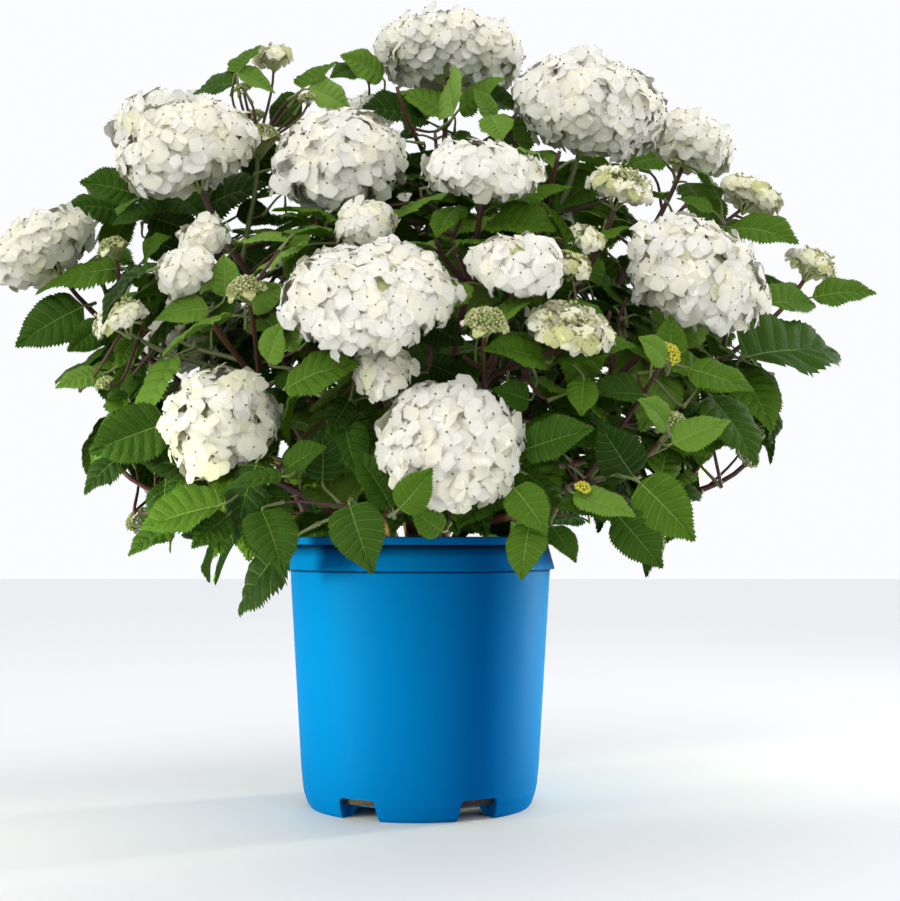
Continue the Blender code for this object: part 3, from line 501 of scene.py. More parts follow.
SMALLEST_FULL, SMALLEST_PART = 0.056, 0.036    # widths from which a back head is full or part open
SIDE_SWING, SIDE_RISE = (0, 9, -10), (3, -5, 4)
SIDE_SIZE, SIDE_REACH = (1, 0.45, 0.3), (1, 0.97, 1.02)
WALL_STEPS = 20
WALL_FIRST, WALL_SPAN = 0.25, 0.5
WALL_CLEAR = 0.012
GAP = 0.0003


def heading(azimuth, elevation):
    """Unit vector of an azimuth round from the front and an elevation."""
    turn, rise = math.radians(azimuth), math.radians(elevation)
    return Vector((math.sin(turn) * math.cos(rise), -math.cos(turn) * math.cos(rise), math.sin(rise)))


def crown_radius(direction):
    """Distance from the crown's root to its ellipsoid along a direction."""
    return 1 / math.sqrt(sum((direction[i] / CROWN_HALF[i]) ** 2 for i in range(3)))


def bloom_for(width):
    """How far a head behind has opened, from its width."""
    if width > SMALLEST_FULL:
        return "full"
    return "part" if width > SMALLEST_PART else "bud"


def back_shoots():
    """Shoots that close the crown behind, with a main head and smaller ones beside it."""
    chance = random.Random(41)
    shoots = []
    for ring in BACK_RINGS:
        for k in range(ring.count):
            azimuth = ring.first + k * ring.step + chance.uniform(-4, 4)
            elevation = ring.elevation + chance.uniform(-3, 3)
            heads = []
            for side in range(len(SIDE_SIZE)):
                swing = SIDE_SWING[side] / math.cos(math.radians(elevation))
                rise = SIDE_RISE[side]
                size = SIDE_SIZE[side] * ring.width * chance.uniform(0.85, 1.15)
                toward = heading(azimuth + swing, elevation + rise)
                reach = HEAD_SINK * crown_radius(toward) * SIDE_REACH[side]
                heads.append(Head(azimuth + swing, elevation + rise, reach, size, HEAD_DEPTH * size,
                                  bloom_for(size)))
            shoots.append(Shoot(ring.limb, azimuth, elevation, tuple(heads)))
    return shoots


SHOOTS = FRONT_SHOOTS + tuple(back_shoots())


def head_middle(head):
    return CROWN_ROOT + heading(head.azimuth, head.elevation) * head.reach


def head_axis(head):
    """A head faces between outward and up."""
    return (heading(head.azimuth, head.elevation) + HEAD_LIFT * UP).normalized()


def head_margin(shoot, wall):
    """How far a shoot's heads stay to the inner side of a wall."""
    margins = []
    for head in shoot.heads:
        lean = wall.dot(head_axis(head))
        half = math.hypot(head.width / 2 * math.sqrt(1 - lean * lean), head.depth / 2 * lean)
        margins.append((head_middle(head) - CROWN_ROOT).dot(wall) - HEAD_MARGIN * half)
    return min(margins)


def fair_wall(shoot, other):
    """The plane through the crown's root that leaves both shoots' heads alike clear."""
    middle = heading(shoot.azimuth, shoot.elevation)
    away = heading(other.azimuth, other.elevation)
    axis = middle.cross(away).normalized()
    best = None
    for step in range(WALL_STEPS + 1):
        share = WALL_FIRST + WALL_SPAN * step / WALL_STEPS
        edge = Quaternion(axis, middle.angle(away) * share) @ middle
        wall = edge.cross(axis)
        worst = min(head_margin(shoot, wall), head_margin(other, -wall), WALL_CLEAR)
        score = worst - abs(share - 0.5) * 0.01
        if best is None or score > best[0]:
            best = (score, wall)
    return best[1]


space_walls = [[] for _ in SHOOTS]
for i, shoot in enumerate(SHOOTS):
    for j in range(i + 1, len(SHOOTS)):
        wall = fair_wall(shoot, SHOOTS[j])
        space_walls[i].append(wall)
        space_walls[j].append(-wall)


# ---------------------------------------------------------------- canes
# Last year's wood: tan bark, finely furrowed, swollen at each old pair of leaf scars, flared
# where it leaves the mix, and narrowing to where this year's stem breaks from its tip.
CANE_RADIUS = 0.0058
CANE_FLARE = 1.45
FLARE_HEIGHT = 0.006
LIMB_TIP_RADIUS = 0.0034
LIMB_STEPS = 5
LIMB_SWAY = 0.35
CANE_SIDES = 6
ENTRY = 0.47
LOWEST_ENTRY = 19
BARK_RING = 0.0030           # between the rings of the bark's mesh
BARK_SIDES, BOUGH_BARK_SIDES = 16, 12
SCAR_SPACING = 0.042
SCAR_SWELLING = 0.16
CANE_DARK, CANE_LIGHT = (0.085, 0.045, 0.022), (0.30, 0.19, 0.095)
Limb = namedtuple("Limb", "name points radii sides first last handles")


def bezier(start, leave, arrive, end, count):
    """Points along a cubic from start to end with the two handles given."""
    points = []
    for k in range(count):
        t = k / (count - 1)
        points.append(start * (1 - t) ** 3 + leave * 3 * t * (1 - t) ** 2
                      + arrive * 3 * t * t * (1 - t) + end * t ** 3)
    return points


def tangents(points):
    last = len(points) - 1
    return [(points[min(k + 1, last)] - points[max(k - 1, 0)]).normalized() for k in range(last + 1)]


def across(axis, turn):
    """A unit vector square to the axis, turned round it by an angle in radians."""
    side = axis.cross(UP) if abs(axis.z) < 0.95 else axis.cross(Vector((1, 0, 0)))
    return Quaternion(axis, turn) @ side.normalized()


def tube(points, radii, sides, first=None, last=None, relief=None):
    """A closed tube through points; its end cuts may be given a direction. The relief
    gives each point of a ring its share of the radius."""
    directions = tangents(points)
    directions[0] = first or directions[0]
    directions[-1] = last or directions[-1]
    side = across(directions[0], 0.4)
    verts, faces = [], []
    for ring, (point, axis, radius) in enumerate(zip(points, directions, radii)):
        side = (side - axis * side.dot(axis)).normalized()
        for k in range(sides):
            share = relief(ring, k) if relief else 1
            verts.append(point + Quaternion(axis, 2 * math.pi * k / sides) @ side * radius * share)
    for ring in range(len(points) - 1):
        for k in range(sides):
            a, b = ring * sides + k, ring * sides + (k + 1) % sides
            faces.append((a, b, b + sides, a + sides))
    faces.append(tuple(reversed(range(sides))))
    faces.append(tuple(range(len(verts) - sides, len(verts))))
    return verts, faces


def limb_entry(shoot):
    """Where a shoot's limb ends and its mass begins, and the way it points."""
    head = shoot.heads[0]
    raised = max(shoot.elevation, LOWEST_ENTRY)
    point = CROWN_ROOT + heading(shoot.azimuth, raised) * head.reach * ENTRY
    target = head_middle(head) - head_axis(head) * head.depth * 0.3
    return point, ((target - point).normalized() + 0.25 * head_axis(head)).normalized()


def taper(radius):
    """Radii of a limb from its root to its tip."""
    fall = (radius - LIMB_TIP_RADIUS) / (LIMB_STEPS - 1)
    return [radius - fall * k for k in range(LIMB_STEPS)]


def grow_cane(name, shoot):
    """A cane from its flat cut on the potting mix to where it enters its mass."""
    tip, arrive = limb_entry(shoot)
    spread = (90 - shoot.elevation) / 75
    foot = heading(shoot.azimuth, 0) * CANE_FOOT_RING * spread
    foot.z = MIX_TOP + MIX_CROWNING + GAP
    length = (tip - foot).length
    lean = (UP + heading(shoot.azimuth, 0) * 0.35).normalized()
    leave = foot + lean * length * 0.4
    handles = (foot + UP * FLARE_HEIGHT, leave, tip - arrive * length * LIMB_SWAY, tip)
    points = [foot] + bezier(*handles, LIMB_STEPS)
    radii = [CANE_RADIUS * CANE_FLARE] + taper(CANE_RADIUS)
    return Limb(name, points, radii, CANE_SIDES, UP, arrive, handles)


def bark_limb(limb, root_radius, flare, seed, sides=BARK_SIDES):
    """A limb's fine mesh: smooth curve, furrows along it and a swelling at each leaf scar."""
    length = sum((b - a).length for a, b in zip(limb.points, limb.points[1:]))
    count = max(8, round(length / BARK_RING))
    points = bezier(*limb.handles, count)
    if flare:
        points = [limb.points[0] + UP * (FLARE_HEIGHT * k / 3 - 0.002) for k in range(3)] + points
    radii = []
    for k in range(len(points)):
        along = k / (len(points) - 1)
        radius = root_radius + (LIMB_TIP_RADIUS - root_radius) * along
        if flare:
            radius *= 1 + (CANE_FLARE - 1) * math.exp(-k * BARK_RING / FLARE_HEIGHT)
        past_scar = (along * length + seed * 0.013) % SCAR_SPACING
        radii.append(radius * (1 + SCAR_SWELLING * math.exp(-((past_scar - 0.006) / 0.0028) ** 2)))

    def furrows(ring, k):
        turn = 2 * math.pi * k / sides
        spot = (3.2 * math.cos(turn), 3.2 * math.sin(turn), ring * 0.16 + seed * 7)
        return 1 + 0.09 * noise.noise(spot) + 0.045 * noise.noise([v * 2.3 for v in spot])

    return tube(points, radii, sides, limb.first if not flare else UP, limb.last, furrows)


def join_shapes(shapes):
    """One list of points and one of faces from several shapes."""
    points, faces = [], []
    for shape in shapes:
        first = len(points)
        points += shape[0]
        faces += [tuple(first + k for k in face) for face in shape[1]]
    return points, faces


limbs = {}
for number, shoot in enumerate(SHOOTS):
    if shoot.limb == "cane":
        limbs[number] = grow_cane(f"cane_{len(limbs) + 1:02d}", shoot)
canes = list(limbs.values())
cane_bark, tree, shader = plain_finish("cane_bark", CANE_LIGHT, 0.85)
tinted_by(tree, shader, grain(tree, 130, 6, (1, 1, 0.22)), CANE_DARK, CANE_LIGHT, 0.35, 0.62)
rough_between(tree, shader, grain(tree, 90), 0.7, 0.95)
raised_by(tree, shader, grain(tree, 380, 5, (1, 1, 0.3)), 0.0005, 0.8)
bark = [bark_limb(cane, CANE_RADIUS, True, k) for k, cane in enumerate(canes)]
cane_piece = new_piece("canes", *join_shapes(bark), cane_bark)
cane_piece.data.shade_smooth()
cane_piece.data.set_sharp_from_angle(angle=math.radians(60))
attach(cane_piece, "root")
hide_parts(*(cane.name for cane in canes))


# ---------------------------------------------------------------- boughs
# Side branches from the canes: thinner, redder bark, springing from the side of a cane.
BOUGH_RADIUS = 0.0044
BOUGH_SIDES = 5
BOUGH_CLEAR = 0.0012
LOWEST_BOUGH = 0.234
BOUGH_DARK, BOUGH_LIGHT = (0.050, 0.014, 0.009), (0.165, 0.070, 0.032)


def inflate(limb, clear=GAP / math.cos(math.pi / 6)):
    return tube(limb.points, [radius + clear for radius in limb.radii], limb.sides, limb.first, limb.last)


def grow_bough(name, shoot):
    """A bough from the side of the nearest cane that lets it pass clear."""
    tip, arrive = limb_entry(shoot)
    for cane in sorted(canes, key=lambda cane: (cane.points[-1] - tip).length):
        for start in (2, 3, 1):
            root = (cane.points[start] + cane.points[start + 1]) / 2
            along = (cane.points[start + 1] - cane.points[start]).normalized()
            leave = (along + (tip - root).normalized()).normalized()
            sway = (tip - root).length * LIMB_SWAY
            handles = (root, root + leave * sway, tip - arrive * sway, tip)
            points = bezier(*handles, LIMB_STEPS)
            bough = Limb(name, points, taper(BOUGH_RADIUS), BOUGH_SIDES, leave, arrive, handles)
            tree = BVHTree.FromPolygons(*tube(*bough[1:6]))
            others = [BVHTree.FromPolygons(*inflate(limb, BOUGH_CLEAR))
                      for limb in limbs.values() if limb is not cane]
            if not any(tree.overlap(other) for other in others) and points[1].z > LOWEST_BOUGH:
                return bough
    raise ValueError("no way clear for " + name)


for number, shoot in enumerate(SHOOTS):
    if shoot.limb == "bough":
        limbs[number] = grow_bough(f"bough_{len(limbs) - len(canes) + 1:02d}", shoot)
boughs = [limb for limb in limbs.values() if limb.name.startswith("bough")]
bough_bark, tree, shader = plain_finish("bough_bark", BOUGH_LIGHT, 0.65)
tinted_by(tree, shader, grain(tree, 160, 5, (1, 1, 0.3)), BOUGH_DARK, BOUGH_LIGHT)
rough_between(tree, shader, grain(tree, 120), 0.5, 0.8)
raised_by(tree, shader, grain(tree, 420, 4), 0.0003, 0.7)
bark = [bark_limb(bough, BOUGH_RADIUS, False, 20 + k, BOUGH_BARK_SIDES)
        for k, bough in enumerate(boughs)]
bough_piece = new_piece("boughs", *join_shapes(bark), bough_bark)
bough_piece.data.shade_smooth()
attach(bough_piece, "root")
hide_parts(*(bough.name for bough in boughs))


# ---------------------------------------------------------------- growth of the masses
# This year's shoots: from each limb's tip a main stem runs to its flower head, side stems leave
# it for the smaller heads and for light, and leaves stand in crossed pairs down every stem.
STEM_RADIUS, TWIG_RADIUS = 0.0030, 0.0024
NODE_SPACING = 0.060
BLADE = 0.122
BLADE_HALF_WIDTH = 0.38
BLADE_SHARE = 0.90           # of the cage's width that the leaf itself takes
PETIOLE = 0.024
LEAF_THICKNESS = 0.0018
LEAF_TRIES = 14
LEAF_STRAY = 0.045
LEAF_CLEAR = 0.0006
RIM_CLEAR = 0.001
LOWEST_LEAF = 0.176
LOWEST_TWIG = 0.250
LARGE_HEAD = 0.056
LEAF_COUNT = 272
PAIRS = 4
FIRST_NODE, LAST_NODE = 0.018, 0.012
FEWEST_LEAVES = 7
TWIG_TURNS, TWIG_TRIES = 8, 8
WIDEST_SPACE = 0.7
ROOM_STEP = 0.02
TWIG_SPREAD = 0.045
BLADE_FACES = 11
TIP_VERT = 7


def may_reach(p, spare):
    """Leaves stay in the crown's box, draw in below like a bowl and leave the rim's front clear."""
    if abs(p.x) > CROWN_BOX[0] or abs(p.y) > CROWN_BOX[1] or p.z < LOWEST_LEAF:
        return False
    spread = math.hypot(p.x, p.y * (SKIRT_FRONT if p.y < 0 else SKIRT_BACK))
    if spread > SKIRT_FOOT + spare + SKIRT_SLOPE * (p.z - POT_HEIGHT):
        return False
    return p.y > 0 or p.z > WINDOW_SILL or abs(p.x - WINDOW_MIDDLE) > WINDOW_HALF


def leaf_may_stand(verts):
    return all(may_reach(p, TIP_SPARE if k == TIP_VERT else 0) for k, p in enumerate(verts))


def inside(points, walls, clear=GAP):
    return all((p - CROWN_ROOT).dot(wall) >= clear for p in points for wall in walls)


def arc_point(root, forward, face, length, curl, along, aside=0.0, lift=0.0):
    """A point on a blade that curls away from its face as it runs forward."""
    turn = curl * along
    run = length / curl * math.sin(turn)
    drop = length / curl * (1 - math.cos(turn))
    normal = face * math.cos(turn) + forward * math.sin(turn)
    return root + forward * run - face * drop + forward.cross(face) * aside + normal * lift


def leaf_cage(stem_point, out, forward, face, petiole, length, curl, clear=0.0):
    """The plain closed leaf that keeps a leaf's room; its blade's faces come first."""
    base = stem_point + out * petiole
    half = BLADE_HALF_WIDTH * length + clear
    thick = LEAF_THICKNESS + 2 * clear

    def blade(along, aside=0.0, lift=0.0):
        return arc_point(base, forward, face, length, curl, along, aside, lift)

    side = forward.cross(face)
    root = stem_point - out * 0.0006
    rise, fine, broad = face * clear, 0.0008 + clear, 0.0022 + clear
    verts = [root + side * fine + rise, root - side * fine + rise, root - face * (0.0010 + clear)]
    verts += [blade(0.0, broad, clear), blade(0.0, -broad, clear), base - face * (0.0028 + clear)]
    fold = 0.06 * length
    verts += [blade(0.40, half, fold), blade(1.0 + clear / length), blade(0.40, -half, fold)]
    verts += [blade(0.46, 0, thick / 2), blade(0.46, 0, -thick / 2)]
    edge = [3, 6, 7, 8, 4]
    faces = [(a, b, 9) for a, b in zip(edge, edge[1:] + [3])]
    faces += [(b, a, 10) for a, b in zip(edge, edge[1:])] + [(5, 4, 10), (3, 5, 10)]
    faces += [(1, 0, 3, 4), (2, 1, 4, 5), (0, 2, 5, 3), (0, 1, 2)]
    return verts, faces


def head_cage(head, chance):
    """The lumpy dome that keeps a head's room."""
    form = bmesh.new()
    bmesh.ops.create_icosphere(form, subdivisions=2 if head.width > LARGE_HEAD else 1, radius=0.5)
    face_out = UP.rotation_difference(head_axis(head)).to_matrix()
    middle = head_middle(head)
    verts = []
    for vert in form.verts:
        spot = vert.co * (1 + chance.uniform(-0.06, 0.06))
        if spot.z < 0:
            spot.z *= 0.8
        sized = Vector((spot.x * head.width, spot.y * head.width, spot.z * head.depth))
        verts.append(middle + face_out @ sized)
    faces = [tuple(v.index for v in face.verts) for face in form.faces]
    form.free()
    return verts, faces


def tree_of(*shapes):
    """One search tree of the faces of several shapes."""
    return BVHTree.FromPolygons(*join_shapes(shapes))


class Mass:
    """One shoot's stems, leaves and heads, in its own space."""

    def __init__(self, number, limb_trees):
        self.shoot = SHOOTS[number]
        self.middle = heading(self.shoot.azimuth, self.shoot.elevation)
        self.chance = random.Random(700 + number)
        self.walls = space_walls[number]
        self.other_limbs = [tree for key, tree in limb_trees.items() if key != number]
        self.stems, self.heads, self.poses, self.curves = [], [], [], []
        self.lines, self.leafy = [], set()

    def room(self, turn):
        """The angle from the middle of the space to its wall, one way round."""
        axis = self.middle.cross(across(self.middle, turn))
        angle = 0.0
        while angle < WIDEST_SPACE:
            way = Quaternion(axis, angle) @ self.middle
            if way.z < 0 or not inside([CROWN_ROOT + way], self.walls, 0):
                break
            angle += ROOM_STEP
        return angle

    def toward(self, turn, share):
        """A direction part of the way from the middle of the space to its wall."""
        axis = self.middle.cross(across(self.middle, turn))
        return Quaternion(axis, share * self.room(turn)) @ self.middle

    def breadth(self):
        turns = [2 * math.pi * k / TWIG_TURNS for k in range(TWIG_TURNS)]
        return sum(self.room(turn) for turn in turns) / TWIG_TURNS

    def add_stem(self, start, leave, target, arrive, radius):
        """A stem from start to target, returned as its points, or None if it won't fit."""
        length = (target - start).length
        count = 4 if radius == STEM_RADIUS else 3
        sway = length * LIMB_SWAY
        handles = (start, start + leave * sway, target - arrive * sway, target)
        points = bezier(*handles, count)
        radii = [radius * (1 - 0.3 * k / (count - 1)) for k in range(count)]
        shape = tube(points, radii, 3, leave)
        tree = tree_of(shape)
        if not inside(shape[0], self.walls) or any(tree.overlap(other) for other in self.other_limbs):
            return None
        self.stems.append(shape)
        self.curves.append((handles, radius))
        self.lines.append(points)
        return points

    def side_stem(self, end, arrive):
        """A stem that leaves the main one part of the way along."""
        trunk = self.lines[0]
        root = trunk[1].lerp(trunk[2], self.chance.uniform(0.1, 0.9))
        away = (end - root).normalized()
        return self.add_stem(root, away, end, (away + arrive).normalized(), TWIG_RADIUS)

    def grow_stems(self):
        entry, leave = limb_entry(self.shoot)
        heads = self.shoot.heads
        self.heads = [head_cage(head, self.chance) for head in heads]
        ends = [head_middle(head) - head_axis(head) * head.depth * 0.15 for head in heads]
        self.add_stem(entry + leave * GAP, leave, ends[0], head_axis(heads[0]), STEM_RADIUS)
        for head, end in zip(heads[1:], ends[1:]):
            self.side_stem(end, head_axis(head))
        wanted = round(self.breadth() * heads[0].reach / TWIG_SPREAD) + 2 - len(heads)
        for k in range(max(1, wanted)):
            for attempt in range(TWIG_TRIES):
                turn = 2.4 * k + 1.1 * attempt + self.chance.uniform(-0.4, 0.4)
                aim = self.toward(turn, self.chance.uniform(0.45, 0.75))
                end = CROWN_ROOT + aim * heads[0].reach * self.chance.uniform(0.80, 0.94)
                if end.z > LOWEST_TWIG and self.side_stem(end, aim) is not None:
                    break
        self.first_turns = [self.chance.uniform(0, math.pi) for _ in self.lines]
        self.body = tree_of(*(self.stems + self.heads))


class Crown:
    """All the masses; leaves are set pair by pair from the outside of the crown in."""

    def __init__(self, limb_trees, pot_tree):
        self.masses = [Mass(number, limb_trees) for number in range(len(SHOOTS))]
        for mass in self.masses:
            mass.grow_stems()
        self.hard = list(limb_trees.values()) + [pot_tree]
        self.set_leaves = []
        breadths = [mass.breadth() ** 2 for mass in self.masses]
        self.quota = [max(FEWEST_LEAVES, round(LEAF_COUNT * b / sum(breadths))) for b in breadths]

    def leaf_fits(self, mass, pose):
        verts, faces = leaf_cage(*pose, clear=LEAF_CLEAR)
        if not inside(verts, mass.walls, -LEAF_STRAY) or not leaf_may_stand(verts):
            return False
        whole = BVHTree.FromPolygons(verts, faces)
        blade = BVHTree.FromPolygons(verts, faces[:BLADE_FACES])
        if any(whole.overlap(tree) for tree in self.hard) or blade.overlap(mass.body):
            return False
        if any(whole.overlap(other.body) for other in self.masses if other is not mass):
            return False
        middle = verts[9]
        for owner, spot, other_whole, other_blade in self.set_leaves:
            if (spot - middle).length < 2 * BLADE:
                if (blade.overlap(other_blade) if owner is mass else whole.overlap(other_whole)):
                    return False
        self.set_leaves.append((mass, middle, whole, blade))
        return True

    def add_leaf(self, mass, point, axis, turn, size, number):
        """A leaf from a stem's node, tried at other turns and sizes until it fits."""
        for attempt in range(LEAF_TRIES):
            chance = mass.chance
            swing = turn + chance.uniform(-0.3, 0.3) * (1 + attempt * 0.25)
            length = BLADE * size * (1 - 0.042 * attempt) * chance.uniform(0.92, 1.08)
            spread = across(axis, swing)
            out = (spread + axis * 0.55).normalized()
            sag = chance.uniform(0.10, 0.55)
            forward = (spread + axis * 0.25 - UP * sag).normalized()
            light = mass.middle * 0.4 + UP * 0.7
            face = (light - forward * light.dot(forward)).normalized()
            petiole = PETIOLE * size * chance.uniform(0.8, 1.3)
            pose = (point, out, forward, face, petiole, length, chance.uniform(0.45, 0.95))
            if self.leaf_fits(mass, pose):
                mass.poses.append((pose, number))
                return True
        return False

    def node_place(self, mass, line, number):
        """The point and direction of a stem's node, counted from its tip, or None."""
        points = mass.lines[line]
        length = sum((b - a).length for a, b in zip(points, points[1:]))
        back = FIRST_NODE + number * NODE_SPACING
        if line == 0 or line < len(mass.heads):
            back += 0.25 * mass.shoot.heads[line].depth
        if back > length - LAST_NODE:
            return None
        place = (1 - back / length) * (len(points) - 1)
        step = min(int(place), len(points) - 2)
        along = (points[step + 1] - points[step]).normalized()
        return points[step].lerp(points[step + 1], place - step), along

    def add_pair(self, mass, line, number):
        """The given pair of leaves of one stem, counted from its tip."""
        node = self.node_place(mass, line, number)
        if node is None:
            return
        spot, axis = node
        size = (0.80 + 0.12 * number) * (1 if line == 0 else 0.88)
        turn = mass.first_turns[line] + number * math.pi / 2
        for half in (0, math.pi):
            shifted = spot + axis * mass.chance.uniform(-0.0015, 0.0015)
            if self.add_leaf(mass, shifted, axis, turn + half, size, number):
                mass.leafy.add(line)

    def grow_leaves(self):
        for number in range(PAIRS):
            for line in range(max(len(mass.lines) for mass in self.masses)):
                for mass, quota in zip(self.masses, self.quota):
                    if line < len(mass.lines) and len(mass.poses) < quota:
                        self.add_pair(mass, line, number)


limb_trees = {number: tree_of(inflate(limb, LEAF_CLEAR)) for number, limb in limbs.items()}
outer, inner, top = LIP_RADIUS + RIM_CLEAR, inner_radius(POT_HEIGHT), POT_HEIGHT + RIM_CLEAR
pot_tree = tree_of(turned([(outer, 0), (outer, top), (inner, top), (inner, 0)], 32))
crown = Crown(limb_trees, pot_tree)
crown.grow_leaves()


# ---------------------------------------------------------------- leaves that show from the front
# Each is given as it shows from the front, in millimetres right of the pot's axis and above the
# ground: where its blade begins, where its tip is, how broad it looks, how far out it stands in
# hundredths of the crown's reach, and its tint, which is set darker for the low leaves as painted shade.
Extra = namedtuple("Extra", "pose age mass tint", defaults=(None,))
extras = []
fine_twigs = []
reaches = {}
filling = random.Random(97)
all_heads = [(number, head) for number, shoot in enumerate(SHOOTS) for head in shoot.heads]
stem_points = [(point, number) for number, mass in enumerate(crown.masses) for handles, _ in mass.curves
               for point in bezier(*handles, 9)[1:]]


def local_reach(direction):
    """How far the flower heads near a direction stand from the crown's root."""
    key = tuple(round(v * 12) for v in direction)
    if key not in reaches:
        total = weight = 0.0
        for _, head in all_heads:
            if head.width > 0.04:
                near = 1 / (direction.angle(heading(head.azimuth, head.elevation)) + 0.12) ** 3
                total += near * head.reach
                weight += near
        reaches[key] = total / weight
    return reaches[key]


ShowLeaf = namedtuple("ShowLeaf", "right up tip_right tip_up width out tint")
SHOW_LEAVES = (
    (30, 630, -20, 655, 23, 95, 3), (30, 630, 35, 675, 23, 93, 4), (35, 635, 80, 665, 26, 90, 3),
    (65, 625, 50, 655, 16, 97, 3), (65, 630, 80, 605, 27, 95, 3), (5, 625, -55, 635, 20, 90, 0),
    (-35, 665, -75, 690, 22, 86, 3), (-170, 660, -210, 650, 20, 84, 1), (-170, 670, -150, 695, 13, 80, 2),
    (-170, 670, -135, 650, 20, 84, 3), (-110, 645, -140, 620, 26, 88, 1), (-110, 655, -80, 680, 16, 86, 2),
    (-105, 655, -65, 640, 24, 97, 4), (-55, 675, -85, 665, 18, 84, 1), (35, 545, 10, 515, 22, 97, 2),
    (70, 545, 140, 565, 24, 92, 2), (60, 525, 125, 520, 20, 95, 2), (140, 505, 160, 470, 23, 93, 2),
    (20, 510, 65, 460, 23, 86, 1), (165, 570, 120, 540, 32, 86, 1), (285, 525, 350, 510, 24, 92, 2),
    (360, 460, 420, 465, 24, 97, 2), (315, 455, 365, 450, 20, 97, 2), (295, 405, 388, 400, 46, 95, 1),
    (290, 395, 320, 335, 41, 90, 2), (245, 395, 305, 370, 29, 99, 2), (265, 370, 310, 305, 37, 95, 1),
    (230, 400, 230, 445, 41, 94, 2), (225, 400, 200, 425, 20, 99, 3), (270, 540, 235, 550, 13, 92, 2),
    (220, 590, 185, 580, 26, 86, 2), (230, 325, 285, 345, 32, 100, 3), (225, 340, 200, 370, 20, 99, 3),
    (195, 295, 160, 345, 50, 90, 0), (200, 290, 255, 240, 55, 97, 2), (180, 260, 220, 210, 41, 95, 1),
    (140, 280, 195, 255, 24, 100, 3), (175, 270, 125, 265, 27, 93, 1), (115, 400, 55, 415, 27, 97, 2),
    (120, 400, 200, 410, 22, 96, 2), (150, 385, 145, 350, 31, 97, 2), (100, 365, 65, 375, 27, 88, 1),
    (95, 320, 160, 335, 38, 97, 1), (205, 370, 155, 365, 33, 93, 1), (85, 285, 120, 245, 38, 99, 2),
    (100, 255, 95, 200, 35, 100, 2), (120, 250, 140, 215, 27, 95, 1), (-20, 265, 15, 300, 35, 97, 2),
    (20, 245, -10, 265, 27, 96, 2), (-65, 270, -45, 205, 58, 100, 1), (-145, 265, -125, 205, 46, 100, 1),
    (-115, 240, -165, 175, 35, 96, 0), (-175, 260, -210, 230, 31, 95, 1), (-90, 290, -85, 340, 46, 86, 0),
    (-65, 365, -85, 335, 46, 90, 0), (-125, 300, -85, 320, 27, 90, 1), (-125, 295, -185, 280, 18, 98, 1),
    (-25, 265, -60, 320, 35, 90, 1), (-230, 345, -305, 320, 53, 97, 1), (-265, 320, -310, 280, 23, 94, 0),
    (-190, 300, -260, 305, 32, 92, 0), (-180, 270, -255, 245, 29, 96, 2), (-220, 255, -265, 220, 25, 92, 1),
    (-125, 375, -55, 400, 26, 97, 2), (-140, 400, -125, 435, 23, 99, 3), (-310, 452, -375, 418, 44, 96, 1),
    (-275, 488, -355, 462, 30, 97, 2), (-290, 435, -325, 410, 32, 94, 1), (-260, 425, -280, 395, 23, 97, 2),
    (-290, 390, -335, 375, 20, 98, 3), (-275, 375, -270, 400, 24, 93, 1), (-260, 555, -315, 570, 32, 90, 1),
    (-275, 540, -330, 545, 23, 93, 1), (-205, 540, -140, 570, 32, 90, 0), (-180, 460, -180, 500, 32, 97, 3),
    (-195, 450, -245, 440, 27, 99, 3), (-160, 455, -125, 475, 32, 97, 3), (-240, 540, -285, 525, 16, 90, 1),
    (-255, 495, -230, 520, 16, 95, 2),
    # Deep in the crown: behind the pot's rim, and in the shade behind its gaps.
    (0, 280, -30, 240, 30, 32, 0), (20, 275, 45, 240, 32, 34, 0), (55, 275, 85, 240, 34, 30, 0),
    (85, 280, 110, 245, 30, 34, 0), (-40, 275, -70, 240, 30, 30, 0), (30, 265, 50, 255, 18, 60, 2),
    (-30, 285, 5, 240, 36, 55, 0), (0, 290, 40, 242, 38, 58, 1), (35, 285, 65, 240, 36, 52, 0),
    (70, 290, 40, 245, 36, 62, 1),
    (-250, 535, -200, 515, 34, 80, 0), (-255, 515, -210, 500, 34, 78, 0), (-235, 557, -190, 535, 34, 80, 1),
    (-230, 498, -190, 480, 32, 80, 0), (-168, 545, -136, 527, 34, 75, 0), (-172, 502, -138, 486, 32, 75, 0),
    (5, 436, 42, 420, 34, 70, 0), (10, 398, 42, 384, 34, 70, 0), (-155, 370, -125, 350, 32, 75, 0),
)
# Where the sky shows between and beside the leaves from the front: left, foot, right, top, in
# the same millimetres.
OPEN_PLACES = (
    (-400, 368, -345, 410), (-350, 330, -295, 370), (-350, 290, -312, 332), (-282, 273, -248, 302),
    (-273, 232, -257, 276), (-233, 188, -196, 226), (-178, 182, -162, 228), (141, 203, 176, 243),
    (174, 203, 205, 230), (258, 276, 292, 316), (306, 288, 326, 303), (332, 340, 394, 386),
    (331, 340, 348, 420), (322, 394, 345, 440),
)
SIGHT_FIRST, SIGHT_STEP, SIGHT_STEPS = 0.95, 0.005, 160
SHOW_SINK, SHOW_RISE = 0.05, 0.01     # a show leaf's base lies deeper than its tip
SHOW_SHIFTS = (0, 0.02, -0.02, 0.04, -0.04, 0.07, -0.07, 0.10, -0.10, -0.14)
SHOW_SLANT = 0.6             # how far a show leaf may run away from the front view's plane
SHOW_NATURAL = 0.95
SHOW_PETIOLE = 0.020
SEEN_TWIG = 0.9              # how much a twig that runs across the view counts as longer
BELOW_PULL = 6.0
SIGHT_CLEAR = 0.004


def sight_to(right, up):
    """Unit vector from the lens to a spot of the front view."""
    return (Vector((right, 0, up)) / 1000 - camera.location).normalized()


